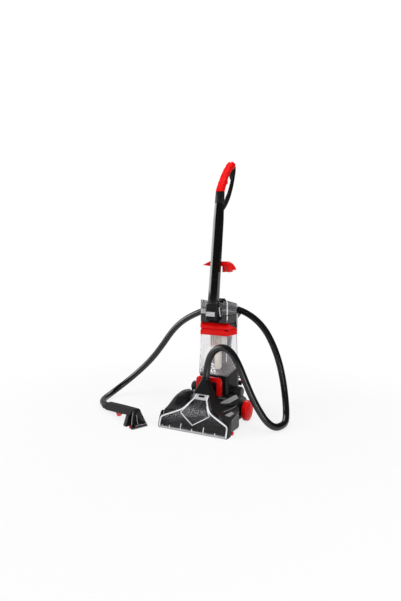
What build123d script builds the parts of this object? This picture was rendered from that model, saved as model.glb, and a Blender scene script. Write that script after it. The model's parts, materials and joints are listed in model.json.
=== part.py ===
# Upright carpet cleaner: floor head, reclining upright, two tanks, hose and hand tool.
# Millimetres. Origin at the middle of the nozzle lip's underside on the floor.
# +X is the machine's left-to-right width, +Y points to its back, +Z is up.
import os
from math import cos, pi, radians, sin, sqrt, tan
from build123d import *

os.makedirs("parts", exist_ok=True)

# Mouldings in general
wall = 2.5            # thickness of a moulded shell
seam = 0.3            # gap between neighbouring mouldings
play = 0.05           # radial play of a shaft in its bore
edge_round = 1.5      # softened outer edge

# Nozzle cover: side curve, front outline and duct
head_half = 150.0     # half width at the lip
lip_height = 12.0     # straight foot of the side curve
bulge_y = 24.0        # middle point of the side curve
bulge_z = 62.0
neck_back = 97.0      # how far the neck's top lies behind the lip
neck_top = 129.0
neck_half = 30.0
throat_z = 116.0      # where the neck starts to flare
waist_half = 62.0     # flare between the neck and the shoulders
waist_z = 79.0
shoulder_z = 44.0     # height of the square sides
shoulder_round = 13.0
waist_round = 48.0
throat_round = 20.0
duct_depth = 18.0     # air duct behind the cover
cover_wall = 3.0
cover_rim = 3.5
duct_back_wall = 2.5
relief = 1.5          # height of ribs and beads on the cover
rib_width = 2.4
rib_pitch = 50.0
long_rib_top = 21.0
short_rib_top = 14.0
bead_height = 8.0
diamond_half = 64.0
diamond_low = 29.0
diamond_mid = 66.0
diamond_top = 95.0
diamond_top_half = 40.0
diamond_bead = 2.6

# Head shell
hood_half = 146.5
hood_base = 8.0
hood_back = 284.0
taper_start = 125.0   # where the head narrows towards its arms
taper_end = 170.0
arm_half = 114.0
notch_half = 86.0     # free space between the arms for the upright
notch_front = 176.0
hump_back = 152.0     # end of the raised middle behind the neck
hood_curve = [(-2.5, 56), (62, 68), (125, 77), (172, 91), (215, 99), (256, 90)]
hood_tail_z = 55.0
tail_chamfer = 9.0
plan_round = 40.0
floor_thick = 4.0
floor_gap = 1.0       # chassis floor above the hood's lower edge

# Recline pivot
pivot_y = 222.0
pivot_z = 118.0
tower_r = 22.0
tower_length = 26.0
trunnion_r = 12.0
trunnion_shoulder_r = 18.0
bush_wall = 3.0
pivot_cap_thick = 5.0
pivot_cap_r = 18.0

# Wheels
wheel_y = 228.0
wheel_r = 42.0
wheel_gap = 3.0       # wheel clear of the arm
wheel_width = 21.0
wheel_rim = 6.0
wheel_web = 4.0
wheel_chamfer = 3.0
hub_r = 13.0
axle_r = 6.0
axle_seat = 21.0      # axle length held in the chassis
hub_cap_bulge = 8.0

# Brush drive
brush_y = 70.0
brush_z = 32.0
brush_half = 110.0
brush_core_r = 13.0
brush_tip_r = 31.0
bristle_thick = 5.0
bristle_rows = 6
brush_shaft_r = 5.0
brush_gap = 4.0       # brush tips clear of the window
pulley_width = 10.0
motor_pulley_r = 6.5
motor_y = 126.0
motor_z = 38.0
motor_r = 20.0
motor_length = 80.0
motor_end = 10.0
motor_shaft_r = 3.0
belt_thick = 1.8
belt_width = 8.0
bearing_width = 8.0
bearing_depth = 26.0
spray_y = 108.0
spray_z = 62.0
spray_r = 4.0
spray_half = 90.0

# Side covers and latches
cap_outline = [(30, 13.5), (40, 59), (84, 71), (113, 54), (113, 14), (100, 10), (70, 13.5)]
cap_round = 5.0
cap_thick = 4.0
bumper_thick = 3.0
bumper_bow = (9, 37)
bumper_head = (23, 60)
bumper_head_back = 38.0
bumper_foot_back = 29.0
latch_y = 48.0
latch_width = 16.0
latch_height = 10.0
latch_reach = 7.0
latch_low = 1.5

# Lock lever
lever_y = 146.0
lever_pin_z = 121.0
lever_half = 57.0
lever_leg = 21.0
lever_depth = 13.0
lever_low = 113.0
lever_top = 186.0
lever_bar = 18.0
lever_pin_r = 4.0
lever_round = 15.0

# Hose adapter
adapter_foot_width = 86.0
adapter_foot_depth = 34.0
adapter_foot_y = 105.0
adapter_foot_round = 6.0
adapter_top_width = 33.0
adapter_top_round = 12.0
adapter_wall = 3.0

# Upright body: a plan with a flat front, widening sides and a narrower back
body_front = 189.0
body_front_half = 62.0
body_side_half = 76.0
body_side_y = 252.0
body_back_half = 62.0
body_back = 298.0
body_round = 8.0
housing_base = 104.0
belly_r = 42.0        # round belly about the pivot line
belly_half = 70.0
belly_slots = 6       # air outlets in the belly's underside
belly_slot_width = 9.0
housing_grow = 5.0    # motor housing wider than the tank above it
housing_round = 16.0
seat_z = 188.0        # tank seat at its front edge
seat_rise = 0.36      # slope of the seat towards the back

# Motors inside the upright
fan_low = 156.0
fan_r = 40.0
fan_shaft_r = 4.0
fan_blades = 9
blade_slant = 35.0
motor_can_r = 36.0
pump_x = 54.0
pump_size = 28.0
pump_round = 4.0
pump_spout_r = 5.0
pump_spout = 12.0

# Dirty water tank
tank_back = 268.0
tank_flare = 6.0      # tank wider at its foot
tank_top = 352.0
tank_wall = 3.0
lid_top = 404.0       # lid height above the tilt line
groove_z = 375.0
groove_height = 4.0
groove_depth = 5.0
notch_width = 22.0
lid_slope = 16.0      # sloped front edge of the lid
lid_pocket_high = 28.0
standpipe_width = 26.0
standpipe_depth = 22.0
standpipe_y = 232.0
window_high = 12.0    # outlets near the column's top
cage_half = 30.0
cage_depth = 44.0
cage_round = 6.0
cage_slots = 5
cage_low = 296.0
float_r = 17.0
float_height = 14.0
float_travel = 24.0

# Upper housing and clean water tank
spine_thick = 26.0
spine_waist = 34.0
spine_waist_z = 318.0
spine_foot_half = 64.0
spine_head_half = 58.0
housing_top = 438.0
clean_height = 62.0   # front corners over the housing
clean_dip = 13.0      # valley beside the pole under the corners
clean_fall = 30.0     # back edge under the front corners
clean_peak = housing_top + clean_height
clean_valley = clean_peak - clean_dip
clean_back_top = clean_peak - clean_fall
clean_wall = 2.5
filler_r = 18.0
filler_y = 262.0
filler_height = 12.0
outlet_r = 12.0       # air outlet over the float cage

# Handle pole
pole_lean = 7.85      # degrees backwards
pole_y = 188.0        # axis at pole_z
pole_z = 499.0
pole_low = 416.0
pole_high = 948.0
pole_foot_width = 40.0
pole_foot_depth = 31.0
pole_head_width = 31.0
pole_head_depth = 26.0
pole_round = 7.0
collar_wall = 5.0
collar_high = 482.0
plate_thick = 2.0
plate_half = 20.0
plate_low = 432.0
plate_high = 450.0

# Grip
grip_half = 13.5
grip_round = 5.0
loop_half = 6.5
loop_round = 3.0
grip_front_curve = [(237.2, 950.3), (252, 976), (285, 1020), (331, 1067), (352, 1082.5)]
grip_top_back = (374, 1078)
grip_back_curve = [(366, 1060), (335, 1044), (291, 997), (263, 946.6)]
loop_outer_curve = [(374.5, 1078.2), (392, 1062), (387, 1031), (369.5, 986), (344, 940), (304, 893),
                    (251.6, 858)]
loop_inner_curve = [(366.5, 1060), (372, 1045), (373.4, 1025), (358, 984.5), (337.7, 952.7), (300, 915),
                    (256.8, 895)]
trigger_pocket = [(284, 1012.5), (322, 1012.5), (322, 966), (274, 972)]
trigger_shape = [(288, 1011.5), (299, 1011), (313, 996), (310, 984), (296, 978), (284, 984), (283, 1005)]
trigger_half = 6.0
trigger_pin_y = 288.0
trigger_pin_z = 1007.0
trigger_pin_r = 2.5

# Tool hook behind the pole
hook_top = 657.0
hook_thick = 20.0
hook_flat = 36.0      # half length of the flat top
hook_left_rise = 4.0      # left tip over the underside
hook_right_drop = 15.0    # right tip under the underside
hook_inner_drop = 13.0
hook_shoulder_drop = 11.0
hook_post_drop = 24.0
hook_under = hook_top - hook_thick
hook_left_tip = (-70, hook_under + hook_left_rise)
hook_right_tip = (72, hook_under - hook_right_drop)
hook_shoulder = (57, hook_top - hook_shoulder_drop)
hook_inner = (61, hook_under - hook_inner_drop)
hook_posts = (28, 50)
hook_depth = 34.0
hook_back = 258.0
hook_post_low = hook_under - hook_post_drop
hook_post_width = 11.0

# Hose rest behind the upper housing
rest_top = 429.0
rest_plate_high = 26.0
rest_thick = 3.0
rest_arm_x = 48.0
rest_arm_width = 12.0
rest_tip_y = 352.0
rest_lip = 4.0
rest_lip_high = 10.0

# Cord outlet and screws
gland_x = -40.0
gland_z = 190.0
gland_r = 13.0
gland_bore = 4.0
gland_length = 16.0
screw_x = 22.0
screw_levels = (262.0, 372.0)
screw_r = 4.0
screw_slot = 1.2

# Foot pedal
pedal_x = 56.0
pedal_width = 34.0
pedal_reach = 26.0
pedal_thick = 9.0
pedal_z = 130.0
pedal_pin_r = 3.0

# Hose: route chosen by hand from the adapter, over the rest, to the hand tool
hose_d = 28.0
hose_wall = 2.0
hose_route = [
    (0, 119, 184), (1, 126, 226), (14, 122, 272), (42, 113, 309), (84, 106, 327), (124, 101, 309),
    (153, 101, 264), (177, 104, 207), (202, 110, 146), (230, 120, 88), (258, 132, 42), (284, 152, 17),
    (300, 188, 15), (303, 228, 18), (292, 268, 40), (278, 298, 88), (261, 316, 160), (240, 324, 236),
    (210, 328, 308), (171, 330, 372), (116, 331, 420), (48, 331, 449), (-22, 331, 456), (-96, 331, 442),
    (-168, 332, 413), (-234, 334, 377), (-294, 338, 325), (-352, 340, 254), (-412, 339, 186),
    (-477, 333, 126), (-537, 314, 76), (-580, 280, 40), (-596, 234, 20), (-588, 184, 15),
    (-562, 138, 15), (-519, 101, 15), (-462, 74, 18),
]

# Hand tool, lying on the floor at the end of the hose
tool_foot_place = (-215, -42, 0)
tool_foot_half = 36.0
tool_neck_half = 15.0
cuff_wall = 1.6
tool_half = 14.0
tool_round = 6.0
tool_wall = 2.5
tool_profile = [(11, 63), (24, 71), (140, 57), (262, 40), (272, 30), (272, 8), (262, 5), (140, 22), (95, 30),
                (55, 34), (34, 63)]
tool_duct = [(26, 66.5), (140, 53), (262, 36), (275, 27), (275, 11), (262, 11), (205, 30), (140, 33), (60, 40),
             (30, 62)]
fan_depth = 14.0
fan_round = 3.0
fan_lean = 21.0       # fan's neck behind its foot
fan_low_z = 1.0
fan_high_z = 62.7
tool_pocket = [(146, 0), (146, 29), (192, 25), (192, 0)]
tool_trigger_shape = [(150, 21), (150, 16), (166, 2.5), (178, 3), (188, 14), (188, 22)]
tool_pin = (184, 18)
tool_pin_r = 2.0
shoe_top_along = 72.0
shoe_top_z = 33.0
shoe_foot_along = 46.0
shoe_foot_z = 3.0
shoe_depth = 24.0
shoe_half = 42.0
strip_along = 14.0    # red brush strip behind the fan's foot
strip_low = 0.6
strip_high = 10.0
strip_thick = 6.0


def write(piece, label):
    piece.part.label = label
    export_step(piece.part, f"parts/{label}.step")


# Both ends of a pair: the right side is +1, the left side is -1
sides = (1, -1)


def cover_outline(inset):
    # front outline of the nozzle cover, run on past its lip and its neck
    low = -3 * lip_height
    high = neck_top + 3 * lip_height
    with BuildSketch(Plane.XZ) as outline:
        with BuildLine():
            FilletPolyline(
                (head_half, low), (head_half, shoulder_z), (waist_half, waist_z), (neck_half, throat_z),
                (neck_half, high), radius=[shoulder_round, waist_round, throat_round])
            Polyline((neck_half, high), (0, high), (0, low), (head_half, low))
        make_face()
        mirror(about=Plane.YZ)
        if inset:
            offset(amount=-inset)
    return outline.sketch


def cover_band(front, back, low):
    # side section between two copies of the cover's curve, moved back by front and by back
    with BuildSketch(Plane.YZ) as band:
        with BuildLine():
            Line((front, low), (front, lip_height))
            ThreePointArc((front, lip_height), (front + bulge_y, bulge_z), (front + neck_back, neck_top))
            Line((front + neck_back, neck_top), (back + neck_back, neck_top))
            ThreePointArc((back + neck_back, neck_top), (back + bulge_y, bulge_z), (back, lip_height))
            Line((back, lip_height), (back, low))
            Line((back, low), (front, low))
        make_face()
    return band.sketch


# Nozzle cover: a clear shell with a rim, open behind, at the lip and at the neck
with BuildPart() as duct_space:
    extrude(cover_outline(cover_rim), amount=head_half, both=True)
    extrude(cover_band(cover_wall, duct_depth + neck_half, -lip_height), amount=head_half, both=True,
            mode=Mode.INTERSECT)

with BuildPart() as cover_relief:
    with BuildSketch(Plane.XZ) as relief_shapes:
        with BuildLine():
            Polyline((-diamond_top_half, diamond_top), (-diamond_half, diamond_mid), (0, diamond_low),
                     (diamond_half, diamond_mid), (diamond_top_half, diamond_top))
        trace(line_width=diamond_bead)
        with Locations((0, bead_height / 2)):
            Rectangle(2 * head_half, bead_height)
        for place in (-1, 1):
            with Locations((place * rib_pitch, long_rib_top / 2)):
                Rectangle(rib_width, long_rib_top)
        for place in (-2, 0, 2):
            with Locations((place * rib_pitch, short_rib_top / 2)):
                Rectangle(rib_width, short_rib_top)
    extrude(amount=head_half, both=True)
    extrude(cover_band(-relief, cover_wall / 2, 0), amount=head_half, both=True, mode=Mode.INTERSECT)

with BuildPart() as nozzle_cover:
    extrude(cover_outline(0), amount=head_half, both=True)
    extrude(cover_band(0, duct_depth, 0), amount=head_half, both=True, mode=Mode.INTERSECT)
    add(duct_space.part, mode=Mode.SUBTRACT)
    add(cover_relief.part)
write(nozzle_cover, "nozzle_cover")

# Back wall of the air duct
back_front = duct_depth + seam
with BuildPart() as duct_back:
    extrude(cover_outline(0), amount=head_half, both=True)
    extrude(cover_band(back_front, back_front + duct_back_wall, lip_height / 3), amount=head_half, both=True,
            mode=Mode.INTERSECT)
write(duct_back, "duct_back")

# Rubber wiper behind the suction slot
hood_front = back_front + duct_back_wall + seam
with BuildPart() as rear_wiper:
    with BuildSketch(Plane.YZ) as wiper_section:
        with BuildLine():
            Polyline((back_front, lip_height / 3 - seam), (back_front, edge_round), (hood_front, 0.5),
                     (hood_front + cover_wall, hood_base - seam),
                     (back_front + duct_back_wall, lip_height / 3 - seam), close=True)
        make_face()
    extrude(amount=hood_half - cap_thick, both=True)
write(rear_wiper, "rear_wiper")


def hood_plan(inset, front, level):
    # plan of the head: full width in front, two arms beside the notch behind
    with BuildSketch(Plane.XY.offset(level)) as plan:
        with BuildLine():
            FilletPolyline((hood_half, front), (hood_half, taper_start), (arm_half, taper_end),
                           (arm_half, hood_back), radius=[plan_round, plan_round])
            Polyline((arm_half, hood_back), (notch_half, hood_back), (notch_half, notch_front),
                     (0, notch_front), (0, front), (hood_half, front))
        make_face()
        mirror(about=Plane.YZ)
        if inset:
            offset(amount=-inset)
    return plan.sketch


def hood_form(inset, low):
    # wedge with two arms, plus the raised middle behind the neck
    tail = hood_back - inset
    curve = [(y, z - inset) for y, z in hood_curve] + [(tail, hood_tail_z - inset)]
    with BuildPart() as form:
        with BuildSketch(Plane.YZ):
            with BuildLine():
                Spline(*curve)
                Polyline(curve[-1], (tail, low + tail_chamfer), (tail - tail_chamfer, low), (curve[0][0], low),
                         curve[0])
            make_face()
        extrude(amount=head_half, both=True)
        extrude(cover_outline(inset), amount=-(hump_back - inset))
        extrude(hood_plan(inset, 0, low), amount=neck_top, mode=Mode.INTERSECT)
        with BuildSketch(Plane.YZ):
            with BuildLine():
                Line((hood_front, low), (hood_front, lip_height))
                ThreePointArc((hood_front, lip_height), (hood_front + bulge_y, bulge_z),
                              (hood_front + neck_back, neck_top))
                Polyline((hood_front + neck_back, neck_top), (hood_back + wall, neck_top),
                         (hood_back + wall, low), (hood_front, low))
            make_face()
            if inset:
                offset(amount=-inset)
        extrude(amount=head_half, both=True, mode=Mode.INTERSECT)
    return form.part


hood_outer = hood_form(0, hood_base)
hood_inner = hood_form(wall, hood_base - 2 * wall)
bush_r = trunnion_r + bush_wall

# Hood: outer shell of the head with two pivot towers and the lever's pins
with BuildPart() as hood:
    add(hood_outer)
    add(hood_inner, mode=Mode.SUBTRACT)
    for side in sides:
        start = notch_half if side > 0 else -notch_half - tower_length
        with BuildSketch(Plane.YZ.offset(start)):
            with Locations((pivot_y, pivot_z)):
                Circle(tower_r)
            with Locations((pivot_y, pivot_z - tower_r)):
                Rectangle(2 * tower_r, 2 * tower_r)
        extrude(amount=tower_length)
        with BuildSketch(Plane.YZ.offset(start)):
            with Locations((pivot_y, pivot_z)):
                Circle(bush_r + play)
        extrude(amount=tower_length, mode=Mode.SUBTRACT)
    with BuildSketch(Plane.YZ):
        with Locations((lever_y, lever_pin_z)):
            Circle(lever_pin_r)
    extrude(amount=lever_half - edge_round, both=True)
    with BuildSketch(Plane.YZ):
        with Locations((wheel_y, wheel_r)):
            Circle(axle_r + seam)
    extrude(amount=hood_half, both=True, mode=Mode.SUBTRACT)
write(hood, "hood")

# Bushes that carry the upright's trunnions
with BuildPart() as pivot_bushes:
    for side in sides:
        start = notch_half if side > 0 else -notch_half - tower_length
        with BuildSketch(Plane.YZ.offset(start)):
            with Locations((pivot_y, pivot_z)):
                Circle(bush_r)
                Circle(trunnion_r + play, mode=Mode.SUBTRACT)
        extrude(amount=tower_length)
write(pivot_bushes, "pivot_bushes")

# Chassis floor with the brush window, brush bearings and axle blocks
floor_low = hood_base + floor_gap
floor_high = floor_low + floor_thick
arm_middle = (notch_half + arm_half) / 2
brush_end = brush_half + pulley_width + seam
window_half = brush_end + seam
window_depth = 2 * (brush_tip_r + brush_gap)
with BuildPart() as chassis:
    extrude(hood_plan(wall + seam, hood_front + wall, floor_low), amount=floor_thick)
    with Locations((0, brush_y, floor_low)):
        Box(2 * window_half, window_depth, 2 * wheel_r, mode=Mode.SUBTRACT)
    for side in sides:
        bearing_x = window_half + bearing_width / 2
        with Locations((side * bearing_x, brush_y, floor_low)):
            Box(bearing_width, bearing_depth, brush_z + bearing_depth / 2 - floor_low,
                align=(Align.CENTER, Align.CENTER, Align.MIN))
        with Locations((side * arm_middle, wheel_y, floor_low)):
            Box(axle_seat, 2 * hub_r, wheel_r + hub_r - floor_low,
                align=(Align.CENTER, Align.CENTER, Align.MIN))
    with BuildSketch(Plane.YZ):
        with Locations((brush_y, brush_z)):
            Circle(brush_shaft_r + play)
    extrude(amount=hood_half, both=True, mode=Mode.SUBTRACT)
    with BuildSketch(Plane.YZ):
        with Locations((wheel_y, wheel_r)):
            Circle(axle_r + play)
    extrude(amount=hood_half, both=True, mode=Mode.SUBTRACT)
    with BuildSketch(Plane.YZ.offset(motor_end - motor_length)):
        with Locations((motor_y, (floor_high + motor_z) / 2)):
            Rectangle(1.4 * motor_r, motor_z - floor_high)
        with Locations((motor_y, motor_z)):
            Circle(motor_r + seam, mode=Mode.SUBTRACT)
    extrude(amount=motor_length)
write(chassis, "chassis")

# Side covers over the ends of the brush chamber
for side, label in ((1, "end_cap_right"), (-1, "end_cap_left")):
    start = hood_half + seam if side > 0 else -hood_half - seam - cap_thick
    with BuildPart() as end_cap:
        with BuildSketch(Plane.YZ.offset(start)):
            with BuildLine():
                Polyline(*cap_outline, close=True)
            make_face()
            fillet(vertices(), cap_round)
        extrude(amount=cap_thick)
        outer_face = end_cap.faces().sort_by(Axis.X)[-1 if side > 0 else 0]
        fillet(outer_face.edges(), edge_round)
    write(end_cap, label)

# Black bumpers on the sides of the nozzle
with BuildPart() as side_bumpers:
    for side in sides:
        start = head_half + seam if side > 0 else -head_half - seam - bumper_thick
        bumper = Plane(origin=(start, 0, 0), x_dir=(0, 1, 0), z_dir=(1, 0, 0))
        with BuildSketch(bumper):
            with BuildLine():
                Line((0, edge_round), (0, lip_height))
                ThreePointArc((0, lip_height), bumper_bow, bumper_head)
                Polyline(bumper_head, (bumper_head_back, bumper_head[1]), (bumper_foot_back, edge_round),
                         (0, edge_round))
            make_face()
        extrude(amount=bumper_thick)
write(side_bumpers, "side_bumpers")

# Release tabs of the brush cover, one on each side
for side, label in ((1, "brush_latch_right"), (-1, "brush_latch_left")):
    with BuildPart() as brush_latch:
        with Locations((side * (hood_half + seam + latch_reach / 2), latch_y, latch_low)):
            Box(latch_reach, latch_width, latch_height, align=(Align.CENTER, Align.CENTER, Align.MIN))
        fillet(brush_latch.edges().filter_by(Axis.X), edge_round)
        with Locations((side * (hood_half - latch_width / 2 + seam), latch_y, hood_base - seam)):
            Box(latch_width, latch_width / 2, hood_base - latch_low - 2 * seam,
                align=(Align.CENTER, Align.CENTER, Align.MAX))
    write(brush_latch, label)

# Wheel axles, wheels and hub caps
wheel_in = arm_half + wheel_gap
wheel_out = wheel_in + wheel_width
wheel_axis = Axis((0, wheel_y, wheel_r), (1, 0, 0))
with BuildPart() as wheel_axles:
    for side in sides:
        start = arm_middle - axle_seat / 2 if side > 0 else -(wheel_out - wheel_web)
        with BuildSketch(Plane.YZ.offset(start)):
            with Locations((wheel_y, wheel_r)):
                Circle(axle_r)
        extrude(amount=wheel_out - wheel_web - arm_middle + axle_seat / 2)
write(wheel_axles, "wheel_axles")

cap_r = wheel_r - 1.5 * wheel_rim
dome_rise = 0.8 * hub_cap_bulge
dome_r = (cap_r ** 2 + dome_rise ** 2) / (2 * dome_rise)
for side, label in ((1, "right"), (-1, "left")):
    with BuildPart() as wheel:
        with BuildSketch(Plane.XZ.offset(-wheel_y)):
            with BuildLine():
                Polyline(
                    (side * wheel_in, wheel_r + axle_r + play), (side * wheel_in, wheel_r + hub_r),
                    (side * (wheel_out - wheel_web), wheel_r + hub_r),
                    (side * (wheel_out - wheel_web), 2 * wheel_r - wheel_rim),
                    (side * wheel_in, 2 * wheel_r - wheel_rim), (side * wheel_in, 2 * wheel_r - wheel_chamfer),
                    (side * (wheel_in + wheel_chamfer), 2 * wheel_r),
                    (side * (wheel_out - wheel_chamfer), 2 * wheel_r),
                    (side * wheel_out, 2 * wheel_r - wheel_chamfer),
                    (side * wheel_out, wheel_r + axle_r + play), close=True)
            make_face()
        revolve(axis=wheel_axis)
    write(wheel, f"wheel_{label}")
    with BuildPart() as hub_cap:
        cap_start = wheel_out + seam / 3 if side > 0 else -wheel_out - seam / 3 - hub_cap_bulge
        with BuildSketch(Plane.YZ.offset(cap_start)):
            with Locations((wheel_y, wheel_r)):
                Circle(cap_r)
        extrude(amount=hub_cap_bulge)
        with Locations((side * (wheel_out + hub_cap_bulge - dome_r), wheel_y, wheel_r)):
            Sphere(dome_r, mode=Mode.INTERSECT)
    write(hub_cap, f"hub_cap_{label}")

# Brush roll: core with stub shafts and a pulley, and its rows of bristles
with BuildPart() as brush_core:
    with BuildSketch(Plane.YZ):
        with Locations((brush_y, brush_z)):
            Circle(brush_core_r)
    extrude(amount=brush_half, both=True)
    with BuildSketch(Plane.YZ):
        with Locations((brush_y, brush_z)):
            Circle(brush_shaft_r)
    extrude(amount=window_half + bearing_width, both=True)
    with BuildSketch(Plane.YZ.offset(-brush_end)):
        with Locations((brush_y, brush_z)):
            Circle(brush_core_r)
    extrude(amount=pulley_width)
write(brush_core, "brush_core")

with BuildPart() as brush_bristles:
    with BuildSketch(Plane.YZ):
        with Locations((brush_y, brush_z)):
            with PolarLocations(brush_core_r, bristle_rows):
                Rectangle(brush_tip_r - brush_core_r, bristle_thick, align=(Align.MIN, Align.CENTER))
    extrude(amount=brush_half - brush_gap, both=True)
    with BuildSketch(Plane.YZ):
        with Locations((brush_y, brush_z)):
            Circle(brush_core_r)
    extrude(amount=brush_half, both=True, mode=Mode.SUBTRACT)
write(brush_bristles, "brush_bristles")

# Brush motor, its shaft with the small pulley, and the belt
motor_start = motor_end - motor_length
with BuildPart() as brush_motor:
    with BuildSketch(Plane.YZ.offset(motor_start)):
        with Locations((motor_y, motor_z)):
            Circle(motor_r)
    extrude(amount=motor_length)
    fillet(brush_motor.edges(), edge_round)
    with BuildSketch(Plane.YZ.offset(motor_start)):
        with Locations((motor_y, motor_z)):
            Circle(motor_shaft_r + play)
    extrude(amount=motor_length / 2, mode=Mode.SUBTRACT)
write(brush_motor, "brush_motor")

with BuildPart() as motor_pulley:
    with BuildSketch(Plane.YZ.offset(-brush_end)):
        with Locations((motor_y, motor_z)):
            Circle(motor_shaft_r)
    extrude(amount=brush_end + motor_start + motor_length / 3)
    with BuildSketch(Plane.YZ.offset(-brush_end)):
        with Locations((motor_y, motor_z)):
            Circle(motor_pulley_r)
    extrude(amount=pulley_width)
write(motor_pulley, "motor_pulley")

with BuildPart() as drive_belt:
    for grow, mode in ((seam + belt_thick, Mode.ADD), (seam, Mode.SUBTRACT)):
        with BuildSketch(Plane.YZ.offset(-brush_end + (pulley_width - belt_width) / 2)):
            with Locations((brush_y, brush_z)):
                Circle(brush_core_r + grow)
            with Locations((motor_y, motor_z)):
                Circle(motor_pulley_r + grow)
            make_hull()
        extrude(amount=belt_width, mode=mode)
write(drive_belt, "drive_belt")

# Spray bar with three tips, standing on the chassis floor
with BuildPart() as spray_bar:
    with BuildSketch(Plane.YZ):
        with Locations((spray_y, spray_z)):
            Circle(spray_r)
    extrude(amount=spray_half, both=True)
    for place in (-1, 1):
        with Locations((place * (spray_half - spray_r), spray_y, floor_high)):
            Box(2 * spray_r, 2 * spray_r, spray_z - floor_high, align=(Align.CENTER, Align.CENTER, Align.MIN))
    for place in (-1, 0, 1):
        with Locations((place * rib_pitch, spray_y, spray_z)):
            Box(2 * spray_r, spray_r, 2 * spray_r, align=(Align.CENTER, Align.CENTER, Align.MAX))
write(spray_bar, "spray_bar")

# Red lever that clamps the nozzle, turning on the hood's pins
with BuildPart() as lock_lever:
    with BuildSketch(Plane.XZ.offset(-(lever_y - lever_depth / 2))):
        with BuildLine():
            FilletPolyline((-lever_half, lever_low), (-lever_half, lever_top), (lever_half, lever_top),
                           (lever_half, lever_low), radius=lever_round)
            Line((lever_half, lever_low), (lever_half - lever_leg, lever_low))
            FilletPolyline((lever_half - lever_leg, lever_low), (lever_half - lever_leg, lever_top - lever_bar),
                           (lever_leg - lever_half, lever_top - lever_bar), (lever_leg - lever_half, lever_low),
                           radius=lever_round / 2)
            Line((lever_leg - lever_half, lever_low), (-lever_half, lever_low))
        make_face()
    extrude(amount=-lever_depth)
    fillet(lock_lever.faces().sort_by(Axis.Y)[0].edges(), 2 * edge_round)
    with BuildSketch(Plane.YZ):
        with Locations((lever_y, lever_pin_z)):
            Circle(lever_pin_r + play)
    extrude(amount=lever_half, both=True, mode=Mode.SUBTRACT)
write(lock_lever, "lock_lever")

# Hose adapter on the neck: its top faces along the hose's first run
hose_start = Vector(*hose_route[0])
hose_out = Vector(*hose_route[1]) - hose_start
adapter_top = Plane(origin=hose_start - hose_out.normalized() * seam, x_dir=(1, 0, 0), z_dir=hose_out)
with BuildPart() as hose_adapter:
    with BuildSketch(Plane.XY.offset(neck_top + seam)):
        with Locations((0, adapter_foot_y)):
            RectangleRounded(adapter_foot_width, adapter_foot_depth, adapter_foot_round)
    with BuildSketch(adapter_top):
        RectangleRounded(adapter_top_width, adapter_top_width, adapter_top_round)
    loft()
    with BuildSketch(Plane.XY.offset(neck_top + seam)):
        with Locations((0, adapter_foot_y)):
            RectangleRounded(2 * (neck_half - cover_rim), adapter_foot_depth / 2, adapter_foot_round)
    with BuildSketch(adapter_top):
        RectangleRounded(hose_d - 2 * adapter_wall, hose_d - 2 * adapter_wall, adapter_top_round - adapter_wall)
    loft(mode=Mode.SUBTRACT)
write(hose_adapter, "hose_adapter")

with BuildPart() as hose_collar:
    with BuildSketch(Plane(origin=hose_start, x_dir=(1, 0, 0), z_dir=hose_out)):
        Circle(hose_d / 2 + adapter_wall)
        Circle(hose_d / 2 + seam / 2, mode=Mode.SUBTRACT)
    extrude(amount=hose_d / 3)
    fillet(hose_collar.edges().group_by(Axis.Z)[-1], edge_round / 2)
write(hose_collar, "hose_collar")


def body_plan(level, grow, back, corner):
    # plan of the upright: flat front, sides that widen, narrower back, grown all round
    slope = (body_back_half - body_side_half) / (body_back - body_side_y)
    back_half = body_side_half + slope * (back - body_side_y)
    with BuildSketch(Plane.XY.offset(level)) as plan:
        with BuildLine():
            Polyline((-body_front_half, body_front), (body_front_half, body_front),
                     (body_side_half, body_side_y), (back_half, back), (-back_half, back),
                     (-body_side_half, body_side_y), close=True)
        make_face()
        if grow:
            offset(amount=grow, kind=Kind.INTERSECTION)
        fillet(vertices(), corner)
    return plan.sketch


def seat_section(lift, top):
    # side section of everything above the sloped tank seat
    front = body_front - 2 * housing_grow - lift
    back = body_back + 2 * housing_grow + lift
    with BuildSketch(Plane.YZ) as section:
        with BuildLine():
            Polyline((front, seat_z + seat_rise * (front - body_front) + lift),
                     (back, seat_z + seat_rise * (back - body_front) + lift), (back, top), (front, top),
                     close=True)
        make_face()
    return section.sketch


# Motor housing: closed shell under the tank, with a trunnion on each side
with BuildPart() as motor_space:
    extrude(body_plan(housing_base + wall, housing_grow - wall, body_back, housing_round - wall),
            amount=neck_top)
    extrude(seat_section(-wall, 3 * seat_z), amount=head_half, both=True, mode=Mode.SUBTRACT)


def belly_form(inset):
    # part of a barrel about the pivot line, below the housing's floor
    with BuildPart() as form:
        with BuildSketch(Plane.YZ):
            with Locations((pivot_y, pivot_z)):
                Circle(belly_r - inset)
        extrude(amount=belly_half - inset, both=True)
        with Locations((0, pivot_y, housing_base + wall - inset)):
            Box(head_half * 2, 4 * belly_r, 4 * belly_r, align=(Align.CENTER, Align.CENTER, Align.MIN),
                mode=Mode.SUBTRACT)
    return form.part


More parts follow.
